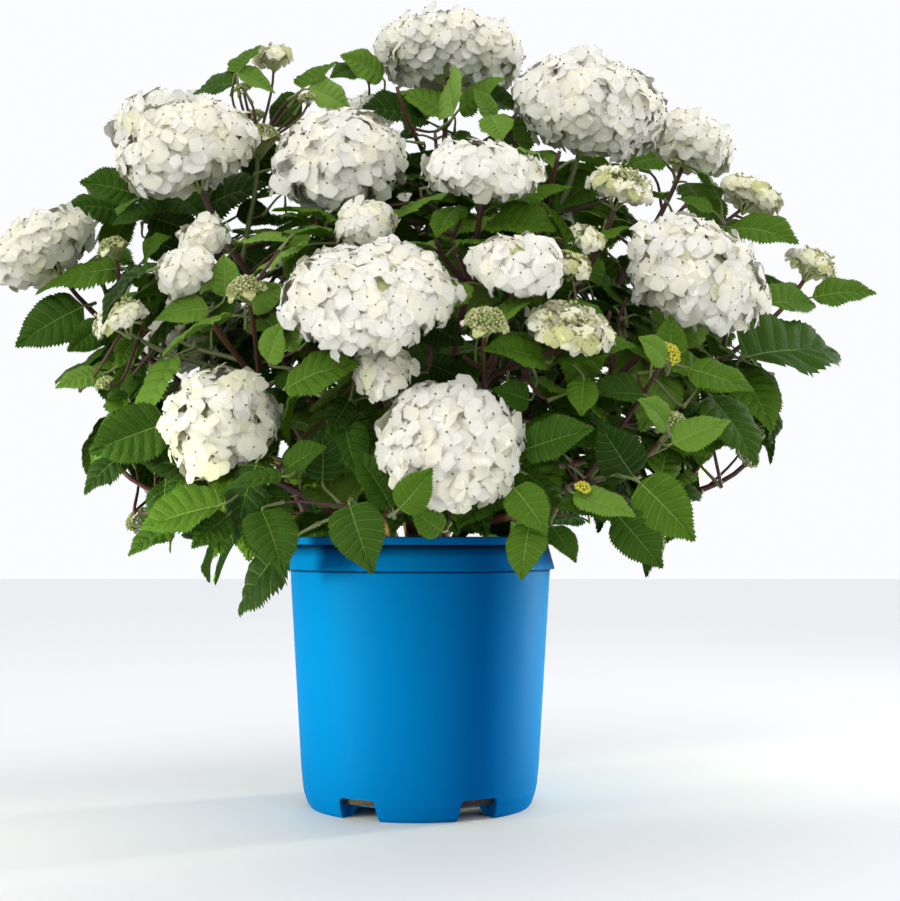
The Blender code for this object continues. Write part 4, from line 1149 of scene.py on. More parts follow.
def on_crown(right, up, share):
    """Where the line of sight to a spot of the front view comes within a part of the crown's reach."""
    sight = sight_to(right, up)
    nearest = None
    for step in range(SIGHT_STEPS):
        spot = camera.location + sight * (SIGHT_FIRST + step * SIGHT_STEP)
        away = spot - CROWN_ROOT
        depth = away.length / local_reach(away.normalized()) + max(0, -away.z) * BELOW_PULL
        if depth <= share:
            return spot
        if nearest is None or depth < nearest[0]:
            nearest = (depth, spot)
    return nearest[1]


def show_pose(leaf, shift):
    """The pose that lays a leaf's blade between its two spots, rolled until it looks as broad."""
    base = on_crown(leaf.right, leaf.up, leaf.out / 100 - SHOW_SINK + shift)
    tip = on_crown(leaf.tip_right, leaf.tip_up, leaf.out / 100 + SHOW_RISE + shift)
    flat = math.hypot(tip.x - base.x, tip.z - base.z) * SHOW_SLANT
    level = base.y + max(-flat, min(flat, tip.y - base.y))
    sight = sight_to(leaf.tip_right, leaf.tip_up)
    tip = camera.location + sight * (level - camera.location.y) / sight.y
    chord = tip - base
    along = chord.normalized()
    curl = filling.uniform(0.35, 0.75)
    length = chord.length * (curl / 2) / math.sin(curl / 2)
    toward = camera.location - base
    toward = (toward - along * toward.dot(along)).normalized()
    broad = leaf.width / 1000 * (base.y - camera.location.y) / -camera.location.y
    natural = 2 * BLADE_HALF_WIDTH * BLADE_SHARE * SHOW_NATURAL * length
    roll = math.acos(min(1, max(0.3, broad / natural)))
    face = max((Quaternion(along, turn) @ toward for turn in (roll, -roll)), key=lambda way: way.z)
    forward = along * math.cos(curl / 2) + face * math.sin(curl / 2)
    face = face * math.cos(curl / 2) - along * math.sin(curl / 2)
    root, number = min(stem_points, key=lambda entry: (entry[0] - base).length + SEEN_TWIG
                       * math.hypot(entry[0].x - base.x, entry[0].z - base.z) + max(0, base.y - entry[0].y))
    out = (forward * 0.5 + (base - root).normalized()).normalized()
    return (base - out * SHOW_PETIOLE, out, forward, face, SHOW_PETIOLE, length, curl), root, number


def set_show_leaf(leaf):
    """A leaf of the list on its twig, moved in or out until it is clear of the rest."""
    for shift in SHOW_SHIFTS:
        pose, root, number = show_pose(leaf, shift)
        verts, faces = leaf_cage(*pose)
        blade = BVHTree.FromPolygons(verts, faces[:BLADE_FACES])
        others = crown.hard + [mass.body for mass in crown.masses] + show_blades
        if not any(blade.overlap(other) for other in others):
            break
    show_blades.append(blade)
    extras.append(Extra(pose, 0, number, leaf.tint))
    fine_twigs.append((root, pose[0], pose[1], number))
    for part in (0.1, 0.35, 0.6, 0.85):
        for aside in (-0.5, 0.5):
            half = BLADE_HALF_WIDTH * math.sin(math.pi * min(0.9, part)) * aside
            spot = arc_point(pose[0] + pose[1] * pose[4], *pose[2:4], *pose[5:], part, half * pose[5])
            ray = spot - camera.location
            sight_lines.append((ray.normalized(), ray.length - SIGHT_CLEAR))


def hides_show_leaf(blade):
    return any(blade.ray_cast(camera.location, way, length)[0] for way, length in sight_lines)


def in_open_place(spot):
    """Whether a point shows in a place that is open from the front."""
    nearer = camera.location.y / (camera.location.y - spot[1])
    right = 1000 * (camera.location.x + (spot[0] - camera.location.x) * nearer)
    up = 1000 * (camera.location.z + (spot[2] - camera.location.z) * nearer)
    return any(left < right < end and foot < up < top for left, foot, end, top in OPEN_PLACES)


def leaves_view_alone(verts, blade):
    """Whether a leaf keeps out of the open places and clear of the leaves that show."""
    if any(in_open_place(v) for v in verts) or hides_show_leaf(blade):
        return False
    return not any(blade.overlap(other) for other in show_blades)


show_blades, sight_lines = [], []
for leaf in SHOW_LEAVES:
    set_show_leaf(ShowLeaf(*leaf))
for mass in crown.masses:
    kept = []
    for pose, age in mass.poses:
        verts, faces = leaf_cage(*pose)
        if leaves_view_alone(verts, BVHTree.FromPolygons(verts, faces[:BLADE_FACES])):
            kept.append((pose, age))
    mass.poses = kept


# ---------------------------------------------------------------- small buds
# Young flower buds that show here and there among the leaves, each as it shows from the front:
# its middle in the same millimetres, its width and how far it has opened.
SMALL_BUDS = (
    (-290, 380, 18, "bud"), (148, 285, 13, "gold"), (235, 585, 15, "bud"), (-165, 655, 17, "bud"),
    (-105, 645, 20, "bud"), (-155, 628, 24, "bud"), (-138, 682, 36, "part"), (38, 284, 30, "small"),
)
BUD_OUT = 0.97               # how far out they stand, as a part of the crown's reach
small_heads = []
for right, up, width, bloom in SMALL_BUDS:
    place = on_crown(right, up, BUD_OUT) - CROWN_ROOT
    turn = math.degrees(math.atan2(place.x, -place.y))
    rise = math.degrees(math.asin(place.z / place.length))
    head = Head(turn, rise, place.length, width / 1000, width / 1000 * HEAD_DEPTH, bloom)
    foot = head_middle(head) - head_axis(head) * head.depth * 0.3
    root, number = min(stem_points, key=lambda entry: (entry[0] - foot).length)
    small_heads.append((number, head))
    fine_twigs.append((root, foot, head_axis(head), number))


# ---------------------------------------------------------------- filling leaves
# Fine twigs with a leaf each reach for the places where light still falls deep into the crown:
# first from all round, then across it from many sides, last through gaps seen from the front.
FILL_DIRECTIONS = 700
FILL_PASSES = 3
FILL_LOWEST = -0.15          # sine of the lowest direction filled
FILL_START = 1.3             # light falls in from here, as a part of the crown's reach
FILL_DEEPEST = 0.66          # and stops at least this far out
FILL_INNERMOST, FILL_OUTERMOST = 0.78, 0.96
FILL_TRIES, FILL_LOOSE_TRIES = 8, 3
FILL_BLADE = (0.062, 0.096)
FILL_STALK = (0.016, 0.028)
YOUNG_SHARE = 0.4
TWIG_REACH = 0.13
TWIG_FORWARD = 0.05          # a twig runs on toward its leaf, never back past it
SIDES_CHECKED, SIDE_RISES = 24, (4, 22)
SIDE_GRID, SIDE_SPAN = 0.017, 0.44
SIDE_MIDDLE, SIDE_WITHIN = 0.16, 0.84
SIDE_STEP, SIDE_STEPS = 0.03, 14
FRONT_SWEEPS, FRONT_GRID = 2, 11      # millimetres
FRONT_SIDEWAYS, FRONT_ROWS, FRONT_FOOT = 30, 38, 245
FRONT_WITHIN, FRONT_FEWEST = 0.86, 8
SIDE_FLOOR, FRONT_FLOOR = POT_HEIGHT + 0.010, POT_HEIGHT + 0.012


def deep_in_crown(spot, lowest, share):
    """Whether a place lies above a level and within a part of the crown's reach."""
    away = spot - CROWN_ROOT
    return spot.z > lowest and away.length < share * local_reach(away.normalized())


def crown_cover():
    """One search tree of every blade and head so far."""
    cages = [leaf_cage(*pose) for mass in crown.masses for pose, _ in mass.poses]
    cages += [leaf_cage(*extra.pose) for extra in extras]
    cages += [shape for mass in crown.masses for shape in mass.heads]
    return tree_of(*cages)


def fits_loosely(pose, strict):
    """A filling leaf clears the limbs, pot and heads, and other blades while it can."""
    verts, faces = leaf_cage(*pose)
    if not leaf_may_stand(verts):
        return False
    blade = BVHTree.FromPolygons(verts, faces[:BLADE_FACES])
    if any(blade.overlap(tree) for tree in crown.hard):
        return False
    if any(blade.overlap(mass.body) for mass in crown.masses):
        return False
    if not leaves_view_alone(verts, blade):
        return False
    middle = verts[9]
    if strict:
        for _, spot, _, other in crown.set_leaves:
            if (spot - middle).length < BLADE and blade.overlap(other):
                return False
    crown.set_leaves.append((None, middle, None, blade))
    return True


def fill_at(middle):
    """A leaf on a fine twig with its blade about a place."""
    direction = (middle - CROWN_ROOT).normalized()
    for attempt in range(FILL_TRIES):
        length = filling.uniform(*FILL_BLADE) * (1 - 0.05 * attempt)
        tangent = across(direction, filling.uniform(0, 2 * math.pi))
        rise, sag = filling.uniform(0.0, 0.7), filling.uniform(0, 0.6)
        forward = (tangent + direction * rise - UP * sag).normalized()
        light = direction * 0.6 + UP * 0.55
        face = (light - forward * light.dot(forward)).normalized()
        shift = Vector([filling.uniform(-0.012, 0.012) for _ in range(3)]) * (attempt + 1) / 2
        base = middle + shift - forward * length * 0.5
        root, number = min(stem_points, key=lambda entry: (entry[0] - base).length
                           + 0.05 * ((entry[0] - CROWN_ROOT).length > (base - CROWN_ROOT).length))
        petiole = filling.uniform(*FILL_STALK)
        out = (forward + direction * 0.3).normalized()
        node = base - out * petiole
        if (root - node).length > TWIG_REACH or (node - root).normalized().dot(forward) < TWIG_FORWARD:
            continue
        pose = (node, out, forward, face, petiole, length, filling.uniform(0.4, 0.95))
        if fits_loosely(pose, attempt < FILL_TRIES - FILL_LOOSE_TRIES):
            extras.append(Extra(pose, 0 if filling.random() < YOUNG_SHARE else 1, number))
            fine_twigs.append((root, node, out, number))
            return


for sweep in range(FILL_PASSES):
    cover = crown_cover()
    for k in range(FILL_DIRECTIONS):
        rise = 1 - (1 - FILL_LOWEST) * (k + 0.5) / FILL_DIRECTIONS
        turn = k * GOLDEN_TURN + sweep
        flat = math.sqrt(1 - rise * rise)
        direction = Vector((flat * math.sin(turn), -flat * math.cos(turn), rise))
        reach = local_reach(direction)
        start = CROWN_ROOT + direction * reach * FILL_START
        hit = cover.ray_cast(start, -direction)[3]
        if hit is None or hit > (FILL_START - FILL_DEEPEST) * reach:
            fill_at(CROWN_ROOT + direction * reach * filling.uniform(FILL_INNERMOST, FILL_OUTERMOST))
for side in range(SIDES_CHECKED):
    view = heading(side * 360 / SIDES_CHECKED, SIDE_RISES[side % 2])
    right, over = view.cross(UP).normalized(), view.cross(view.cross(UP)).normalized()
    cover = crown_cover()
    steps = round(SIDE_SPAN / SIDE_GRID)
    for row in range(-steps, steps + 1):
        for column in range(-steps, steps + 1):
            through = CROWN_ROOT + UP * SIDE_MIDDLE
            through = through + right * column * SIDE_GRID + over * row * SIDE_GRID
            inside_spots = []
            for step in range(-SIDE_STEPS, SIDE_STEPS + 1):
                spot = through + view * step * SIDE_STEP
                if deep_in_crown(spot, SIDE_FLOOR, SIDE_WITHIN):
                    inside_spots.append(spot)
            if len(inside_spots) > 2 and cover.ray_cast(through + view * 0.6, -view)[3] is None:
                fill_at(filling.choice(inside_spots[len(inside_spots) // 2:]))
for sweep in range(FRONT_SWEEPS):
    cover = crown_cover()
    for column in range(-FRONT_SIDEWAYS, FRONT_SIDEWAYS + 1):
        for row in range(FRONT_ROWS):
            sight = sight_to(column * FRONT_GRID, FRONT_FOOT + row * FRONT_GRID)
            spots = []
            for step in range(SIGHT_STEPS):
                spot = camera.location + sight * (SIGHT_FIRST + step * SIGHT_STEP)
                if deep_in_crown(spot, FRONT_FLOOR, FRONT_WITHIN):
                    spots.append(spot)
            if len(spots) > FRONT_FEWEST and cover.ray_cast(camera.location, sight)[3] is None:
                fill_at(filling.choice(spots))


# ---------------------------------------------------------------- stems
# Green this year's growth that ripens to dark red-brown, round and a little swollen at the
# nodes, with the leaf stalks clasping it in pairs.
STEM_SIDES = 8
PETIOLE_SIDES = 6
LONG_TWIG = 0.040            # longer twigs have ripened red-brown
STEM_POINTS, TWIG_POINTS = 12, 7
SHORTEST_STUB = 4            # points that a side stem keeps, or it is left out
STEM_SWELLING = 0.18
FINE_TWIG_RADIUS, FINE_TWIG_TAPER = 0.0016, 0.0005
FINE_TWIG_SIDES = 6
PETIOLE_RADII = (0.0019, 0.0013, 0.0011, 0.0011, 0.0009)
STEM_TINTS = ((0.060, 0.016, 0.012), (0.085, 0.030, 0.015), (0.090, 0.110, 0.025), (0.155, 0.190, 0.055))
GROUPS = 4                   # the masses are dressed in this many groups of neighbours


def group_of(number):
    """The group that a mass's pieces are joined into, by its side of the plant."""
    azimuth = SHOOTS[number].azimuth % 360
    return int((azimuth + 45) % 360 // 90)


def soft_finish(name, colour, roughness, scale, depth, sheen=0.0):
    """A plain colour with the fine relief and uneven gloss of living skin."""
    finish, tree, shader = plain_finish(name, colour, roughness)
    rough_between(tree, shader, grain(tree, scale * 0.4), roughness - 0.08, roughness + 0.10)
    raised_by(tree, shader, grain(tree, scale, 3), depth, 0.6)
    shader.inputs["Sheen Weight"].default_value = sheen
    return finish


def triangles_of(faces):
    """Every face cut into a fan of triangles."""
    return np.array([(face[0], face[k], face[k + 1]) for face in faces for k in range(1, len(face) - 1)])


def joined_piece(name, shapes, finishes, softness=0.0):
    """One smooth mesh object from many (points, triangles, finish numbers); a fourth item is
    the way out of the head that a petal belongs to, which softens how it is shaded."""
    starts = np.cumsum([0] + [len(shape[0]) for shape in shapes])
    points = np.concatenate([shape[0] for shape in shapes]).astype(np.float32)
    corners = np.concatenate([shape[1] + start for shape, start in zip(shapes, starts)]).astype(np.int32)
    marks = np.concatenate([shape[2] for shape in shapes]).astype(np.int32)
    mesh = bpy.data.meshes.new(name)
    mesh.vertices.add(len(points))
    mesh.vertices.foreach_set("co", points.ravel())
    mesh.loops.add(corners.size)
    mesh.loops.foreach_set("vertex_index", corners.ravel())
    mesh.polygons.add(len(corners))
    mesh.polygons.foreach_set("loop_start", np.arange(0, corners.size, 3, dtype=np.int32))
    mesh.polygons.foreach_set("material_index", marks)
    mesh.polygons.foreach_set("use_smooth", np.ones(len(corners), dtype=bool))
    for finish in finishes:
        mesh.materials.append(finish)
    mesh.update(calc_edges=True)
    mesh.validate()
    if softness:
        normals = np.empty(len(points) * 3, dtype=np.float32)
        mesh.vertex_normals.foreach_get("vector", normals)
        normals = normals.reshape(-1, 3)
        ways = np.concatenate([np.broadcast_to(shape[3] if len(shape) > 3 else (0, 0, 0), shape[0].shape)
                               for shape in shapes])
        side = np.sign(np.sum(normals * ways, axis=1, keepdims=True))
        normals = normals * (1 - softness) + side * ways * softness
        normals /= np.linalg.norm(normals, axis=1, keepdims=True) + 1e-9
        mesh.normals_split_custom_set_from_vertices([tuple(n) for n in normals])
    piece = bpy.data.objects.new(name, mesh)
    bpy.context.scene.collection.objects.link(piece)
    return piece


def fine_tube(points, radii, sides, mark):
    """A tube as an array shape."""
    verts, faces = tube(points, radii, sides)
    corners = triangles_of(faces)
    return np.array([tuple(v) for v in verts]), corners, np.full(len(corners), mark)


def masses_in(group):
    numbers = [number for number in range(len(SHOOTS)) if group_of(number) == group]
    return [f"foliage_{number + 1:02d}" for number in numbers]


stem_shapes = [[] for _ in range(GROUPS)]
ripening = random.Random(5)
for number, mass in enumerate(crown.masses):
    home = stem_shapes[group_of(number)]
    for line, (handles, radius) in enumerate(mass.curves):
        if line >= len(mass.heads) and line not in mass.leafy:
            continue
        points = bezier(*handles, STEM_POINTS)
        shown = next((k for k, point in enumerate(points) if in_open_place(point)), STEM_POINTS)
        if line >= len(mass.heads):
            if shown < SHORTEST_STUB:
                continue
            points = points[:shown]
        radii = []
        for k in range(len(points)):
            swelling = STEM_SWELLING * max(0, math.cos(2 * math.pi * k / 4)) ** 4
            radii.append(radius * (1 - 0.3 * k / (STEM_POINTS - 1)) * (1 + swelling))
        home.append(fine_tube(points, radii, STEM_SIDES, ripening.choice((0, 0, 1, 1, 2))))
for root, node, out, number in fine_twigs:
    length = (node - root).length
    away = (node - root).normalized()
    points = bezier(root, root + away * length * LIMB_SWAY,
                    node - (out + away).normalized() * length * LIMB_SWAY, node, TWIG_POINTS)
    radii = [FINE_TWIG_RADIUS - FINE_TWIG_TAPER * k / (TWIG_POINTS - 1) for k in range(TWIG_POINTS)]
    tints = (0, 0, 1) if length > LONG_TWIG else (0, 1, 2, 3)
    stem_shapes[group_of(number)].append(
        fine_tube(points, radii, FINE_TWIG_SIDES, ripening.choice(tints)))
stem_finishes = [soft_finish(f"stem_{k + 1}", tint, 0.5, 900, 0.0002) for k, tint in enumerate(STEM_TINTS)]


def petiole_shape(pose, mark):
    """A leaf's stalk, sunk into the stem at its root and thinning toward the blade."""
    stem_point, out, forward, face, petiole, length, _ = pose
    base = stem_point + out * petiole
    points = bezier(stem_point - out * 0.0012, stem_point + out * petiole * 0.5,
                    base - forward * petiole * 0.3, base + forward * length * 0.03, 5)
    return fine_tube(points, PETIOLE_RADII, PETIOLE_SIDES, mark)


# ---------------------------------------------------------------- leaves
# Broad ovals drawn out to a point, with a toothed and waved edge, pressed in along the midrib
# and seven pairs of side veins and swelling between them; old ones deep green, young ones
# near the tips bright.
VEIN_PAIRS = 7
VEIN_FIRST, VEIN_STEP = 0.055, 0.116
VEIN_HALF = 0.0032           # half of a side vein's width, as a part of the leaf's length
MIDRIB_HALF = 0.0075
PANEL_COLUMNS = (0.36, 0.70, 1.0)      # across half a blade, from midrib to margin
TOOTH = 0.040
QUILTING = 0.038
LEAF_TRIM = (0.76, 0.93)     # young blades fall short of the room kept for them
LEAF_ROUGHNESS, MIDRIB_ROUGHNESS, VEIN_ROUGHNESS = 0.50, 0.55, 0.52
LEAF_SHINE = 0.10
LEAF_TINTS = ((0.015, 0.044, 0.002), (0.032, 0.084, 0.004), (0.064, 0.146, 0.007),
              (0.118, 0.232, 0.024), (0.180, 0.312, 0.048))
MIDRIB_TINTS = ((0.150, 0.240, 0.050), (0.240, 0.340, 0.090), (0.330, 0.430, 0.140))
MIDRIB_FOR_TINT = (0, 0, 1, 1, 2)
SIDE_VEIN_SHARE = 0.55       # how far a side vein's tint goes from the blade's to the midrib's
BLADE_KIND, MIDRIB_KIND, VEIN_KIND = 0, 1, 2


def half_width(along):
    """Half of a blade's width: round at the base, widest before the middle, long in the tip."""
    along = np.clip(along, 0, 1)
    oval = along ** 0.52 * (1 - along) ** 0.96 / 0.388
    drawn_in = 1 - 0.30 * np.clip((along - 0.70) / 0.20, 0, 1)
    return BLADE_SHARE * BLADE_HALF_WIDTH * oval * drawn_in


def leaf_template():
    """Parameters of a flat leaf: along, aside, panel swelling, and its faces and their kinds."""
    lines = []
    for k in range(VEIN_PAIRS):
        vein = VEIN_FIRST + k * VEIN_STEP
        after = VEIN_STEP if k < VEIN_PAIRS - 1 else 1 - vein
        lines.append((vein - VEIN_HALF, 0.0, "vein"))
        lines.append((vein + VEIN_HALF, 0.0, "panel"))
        lines.append((vein + after * 0.35, 0.9, "panel"))
        lines.append((vein + after * 0.68, 0.9, "panel"))
    along, aside, swell, kinds, faces = [0.0], [0.0], [0.0], [], []

    def margin_of(middle):
        return middle + 0.62 * middle * (1 - middle)

    columns = [-u for u in reversed(PANEL_COLUMNS)] + [-0.0, 0.0] + list(PANEL_COLUMNS)
    for middle, swelling, _ in lines:
        edge = margin_of(middle)
        for place, column in enumerate(columns):
            u = abs(column)
            if u == 0:
                half = MIDRIB_HALF * (1 - 0.8 * middle)
                along.append(middle)
                aside.append(-half if place < 4 else half)
                swell.append(-0.35)
            else:
                along.append(middle + (edge - middle) * u ** 1.15)
                aside.append(math.copysign(float(half_width(edge)) * u, column))
                swell.append(swelling * math.sin(math.pi * min(u, 0.93)) ** 0.8)
    width = len(columns)
    tip = len(along)
    along.append(1.0)
    aside.append(0.0)
    swell.append(0.0)
    for column in range(width - 1):
        kind = MIDRIB_KIND if column == width // 2 - 1 else BLADE_KIND
        faces.append((0, 1 + column, 2 + column))
        kinds.append(kind)
        last = 1 + (len(lines) - 1) * width + column
        faces.append((last, tip, last + 1))
        kinds.append(kind)
    for row in range(len(lines) - 1):
        for column in range(width - 1):
            a = 1 + row * width + column
            b = a + width
            kind = VEIN_KIND if lines[row][2] == "vein" else BLADE_KIND
            if column == width // 2 - 1:
                kind = MIDRIB_KIND
            faces += [(a, b, b + 1), (a, b + 1, a + 1)]
            kinds += [kind, kind]
        if lines[row][2] == "vein":
            continue
        for side, column in ((-1, 0), (1, width - 1)):
            a = 1 + row * width + column
            b = a + width
            edge = 0.25 * along[a] + 0.75 * along[b]
            tooth = len(along)
            along.append(edge + 0.014)
            aside.append(side * (float(half_width(edge)) + TOOTH * (1 - 0.5 * edge)))
            swell.append(0.0)
            faces.append((a, tooth, b) if side < 0 else (a, b, tooth))
            kinds.append(BLADE_KIND)
    return np.array(along), np.array(aside), np.array(swell), np.array(faces), np.array(kinds)


leaf_along, leaf_aside, leaf_swell, leaf_faces, leaf_kinds = leaf_template()
leafing = random.Random(11)


def leaf_shape(pose, tint, width=None):
    """One leaf on its pose, with its own fold, wave, twist and quilting."""
    stem_point, out, forward, face, petiole, length, curl = pose
    base = stem_point + out * petiole
    width = width or leafing.uniform(0.86, 1.08)
    wave, phase = leafing.uniform(0.012, 0.042), leafing.uniform(0, 6.28)
    fold, roll = leafing.uniform(0.10, 0.42), leafing.uniform(0.10, 0.36)
    bend, twist = leafing.uniform(-0.12, 0.12), leafing.uniform(-0.50, 0.50)
    side = np.sign(leaf_aside)
    spread = np.abs(leaf_aside) / BLADE_HALF_WIDTH
    lift = fold * BLADE_HALF_WIDTH * spread ** 1.2 - roll * BLADE_HALF_WIDTH * spread ** 3
    lift += wave * np.sin(leaf_along * 15 + phase + 1.6 * side) * spread ** 1.5
    lift += 0.012 * np.sin(2 * np.pi * (leaf_along - VEIN_FIRST) / VEIN_STEP) * spread ** 2
    lift += QUILTING * leaf_swell + twist * leaf_aside * leaf_along
    aside = leaf_aside * width + bend * leaf_along ** 2
    turn = curl * leaf_along
    run = length / curl * np.sin(turn)
    drop = length / curl * (1 - np.cos(turn))
    f, n, s = np.array(forward), np.array(face), np.array(forward.cross(face))
    normal = np.cos(turn)[:, None] * n + np.sin(turn)[:, None] * f
    points = np.array(base) + run[:, None] * f - drop[:, None] * n
    points = points + (length * aside)[:, None] * s + (length * lift)[:, None] * normal
    midrib_mark = len(LEAF_TINTS) + MIDRIB_FOR_TINT[tint]
    vein_mark = len(LEAF_TINTS) + len(MIDRIB_TINTS) + tint
    marks = np.select([leaf_kinds == MIDRIB_KIND, leaf_kinds == VEIN_KIND], [midrib_mark, vein_mark], tint)
    return points, leaf_faces, marks


def trimmed(pose):
    """The pose with the length that the leaf has really grown to."""
    return (*pose[:5], pose[5] * leafing.uniform(*LEAF_TRIM), pose[6])


def tint_for(age, height):
    """Young leaves and high ones are brighter."""
    # Painted light: the tint rises with height, lighter high up under the top light and darker low down; the
    # fall with age is the leaves' own colour.
    light = leafing.gauss(2.3 - 0.8 * age + (height - 0.42) * 2.0, 0.85)
    return max(0, min(4, round(light)))


def leafy_finish(name, colour, roughness):
    """Blade skin: plain green, a net of fine veins pressed in, an uneven low gloss."""
    finish, tree, shader = plain_finish(name, colour, roughness)
    place = tree.nodes.new("ShaderNodeTexCoord")
    net = tree.nodes.new("ShaderNodeTexVoronoi")
    net.feature = "DISTANCE_TO_EDGE"
    net.inputs["Scale"].default_value = 330
    tree.links.new(place.outputs["Object"], net.inputs["Vector"])
    rough_between(tree, shader, grain(tree, 500), roughness - 0.07, roughness + 0.12)
    raised_by(tree, shader, net.outputs["Distance"], 0.0016, 0.55)
    shader.inputs["Specular IOR Level"].default_value = LEAF_SHINE
    return finish


leaf_shapes = [[] for _ in range(GROUPS)]
for number, mass in enumerate(crown.masses):
    for pose, age in mass.poses:
        leaf_shapes[group_of(number)].append(leaf_shape(trimmed(pose), tint_for(age, pose[0].z)))
        stem_shapes[group_of(number)].append(petiole_shape(pose, 2 if age > 1 else 3))
for extra in extras:
    if extra.tint is None:
        blade = leaf_shape(extra.pose, tint_for(extra.age, extra.pose[0].z))
    else:
        blade = leaf_shape(extra.pose, extra.tint, SHOW_NATURAL)
    leaf_shapes[group_of(extra.mass)].append(blade)
    stem_shapes[group_of(extra.mass)].append(petiole_shape(extra.pose, 3))
leaf_finishes = [leafy_finish(f"leaf_{k + 1}", tint, LEAF_ROUGHNESS)
                 for k, tint in enumerate(LEAF_TINTS)]
leaf_finishes += [leafy_finish(f"midrib_{k + 1}", tint, MIDRIB_ROUGHNESS)
                  for k, tint in enumerate(MIDRIB_TINTS)]
for k, tint in enumerate(LEAF_TINTS):
    rib = MIDRIB_TINTS[MIDRIB_FOR_TINT[k]]
    between = [a + (b - a) * SIDE_VEIN_SHARE for a, b in zip(tint, rib)]
    leaf_finishes.append(leafy_finish(f"side_vein_{k + 1}", between, VEIN_ROUGHNESS))
for group in range(GROUPS):
    leaves = joined_piece(f"leaves_{group + 1}", leaf_shapes[group], leaf_finishes)
    stems = joined_piece(f"stems_{group + 1}", stem_shapes[group], stem_finishes)
    for piece in (leaves, stems):
        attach(piece, "root")
        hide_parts(*masses_in(group))


# ---------------------------------------------------------------- flower heads
# Sterile florets of four or five broad overlapping sepals round a small eye, packed over a
# branching dome; creamy and green-tinged where they open, with beads of bud in young heads.
FLORET_SPACING = 0.0130
SEPAL = (0.0104, 0.0140)
PETAL_SOFTNESS = 0.50
INNER_LAYER = 0.009          # how far below the outer florets the next ones open
HEAD_LUMPS = 0.11
PETAL_TINTS = ((0.745, 0.73, 0.655), (0.745, 0.725, 0.60), (0.71, 0.70, 0.50), (0.50, 0.51, 0.22))
EYE_TINT = (0.24, 0.25, 0.16)
BEAD_TINTS = ((0.33, 0.38, 0.12), (0.56, 0.54, 0.29), (0.60, 0.56, 0.035))
STALK_TINT = (0.36, 0.42, 0.16)
BEAD = 0.0016
OUTWARD = 1.5                # florets face more to the side than the dome under them does
STALKS_SEEN, YOUNG_STALKS_SEEN = 0.15, 0.75
# Places along a sepal of unit length, and half of its width there.
SEPAL_ROWS = ((0.20, 0.30), (0.45, 0.54), (0.70, 0.48), (0.88, 0.22))
INNER_ROWS = ((0.42, 0.52), (0.80, 0.42))
FLORET_STRAY = 0.24          # how unevenly florets face, in radians
LOWEST_FACING = -0.15
DOME_FOOT, YOUNG_DOME_FOOT, INNER_DOME_FOOT = -0.92, 0.0, -0.8
BUD_SPACING, BUD_DOME_FOOT = 0.0031, -0.1
RAY_COUNT, RIM_FLORETS, CENTRE_BEADS = 7, 5, 5
RAY_RADIUS, FLORET_STALK_RADIUS, BUD_STALK_RADIUS = 0.0013, 0.0006, 0.0004
PETAL_GLOW, PETAL_GLOW_DEPTH = 0.75, 0.007     # light that soaks through petals
PETAL_GLOW_COLOUR = (1.0, 0.98, 0.85)


def sepal_template(rows):
    """Along, aside and faces of one sepal of unit length, three points to each row."""
    along, aside = [0.0], [0.0]
    for row, half in rows:
        along += [row, row + 0.03, row]
        aside += [-half, 0, half]
    tip = len(along)
    along.append(1.0)
    aside.append(0.0)
    faces = [(0, 2, 1), (0, 3, 2), (tip - 3, tip - 2, tip), (tip - 2, tip - 1, tip)]
    for a in range(1, tip - 3, 3):
        for k in (a, a + 1):
            faces += [(k, k + 1, k + 4), (k, k + 4, k + 3)]
    return np.array(along), np.array(aside), np.array(faces)


def ball_template():
    """A small closed bead of eight faces."""
    points = [(1, 0, 0), (0, 1, 0), (-1, 0, 0), (0, -1, 0), (0, 0, 1), (0, 0, -1)]
    faces = [(k, (k + 1) % 4, 4) for k in range(4)] + [((k + 1) % 4, k, 5) for k in range(4)]
    return np.array(points), np.array(faces)


outer_sepal, inner_sepal = sepal_template(SEPAL_ROWS), sepal_template(INNER_ROWS)
ball_points, ball_faces = ball_template()
opening = random.Random(23)
EYE_MARK = len(PETAL_TINTS)
BEAD_MARK = EYE_MARK + 1
STALK_MARK = BEAD_MARK + len(BEAD_TINTS)
CORE_MARK = 3                # the core has the greenest petal tint
CORE_SHARE = 0.74


def sepal_shape(template, middle, out, way, length, tilt, mark, dome):
    """One sepal that leaves a floret's eye along way and tilts up toward out."""
    sepal_along, sepal_aside, sepal_faces = template
    f = (way * math.cos(tilt) + out * math.sin(tilt)).normalized()
    n = (out * math.cos(tilt) - way * math.sin(tilt)).normalized()
    s = f.cross(n)
    cup, recurve = opening.uniform(-0.5, 0.4), opening.uniform(0.0, 0.6)
    ruffle = opening.uniform(-0.5, 0.5)
    crimp, phase = opening.uniform(0.03, 0.10), opening.uniform(0, 6.28)
    lift = cup * sepal_aside ** 2 - recurve * sepal_along ** 2 + ruffle * sepal_aside * sepal_along
    lift = lift + crimp * np.sin(sepal_aside * 9 + sepal_along * 7 + phase) * sepal_along
    broad = opening.uniform(0.95, 1.25)
    points = np.array(middle) + length * (sepal_along[:, None] * np.array(f)
                                          + broad * sepal_aside[:, None] * np.array(s)
                                          + lift[:, None] * np.array(n))
    return points, sepal_faces, np.full(len(sepal_faces), mark), np.array(dome)


def bead_shape(middle, radius, mark):
    return np.array(middle) + ball_points * radius, ball_faces, np.full(len(ball_faces), mark)


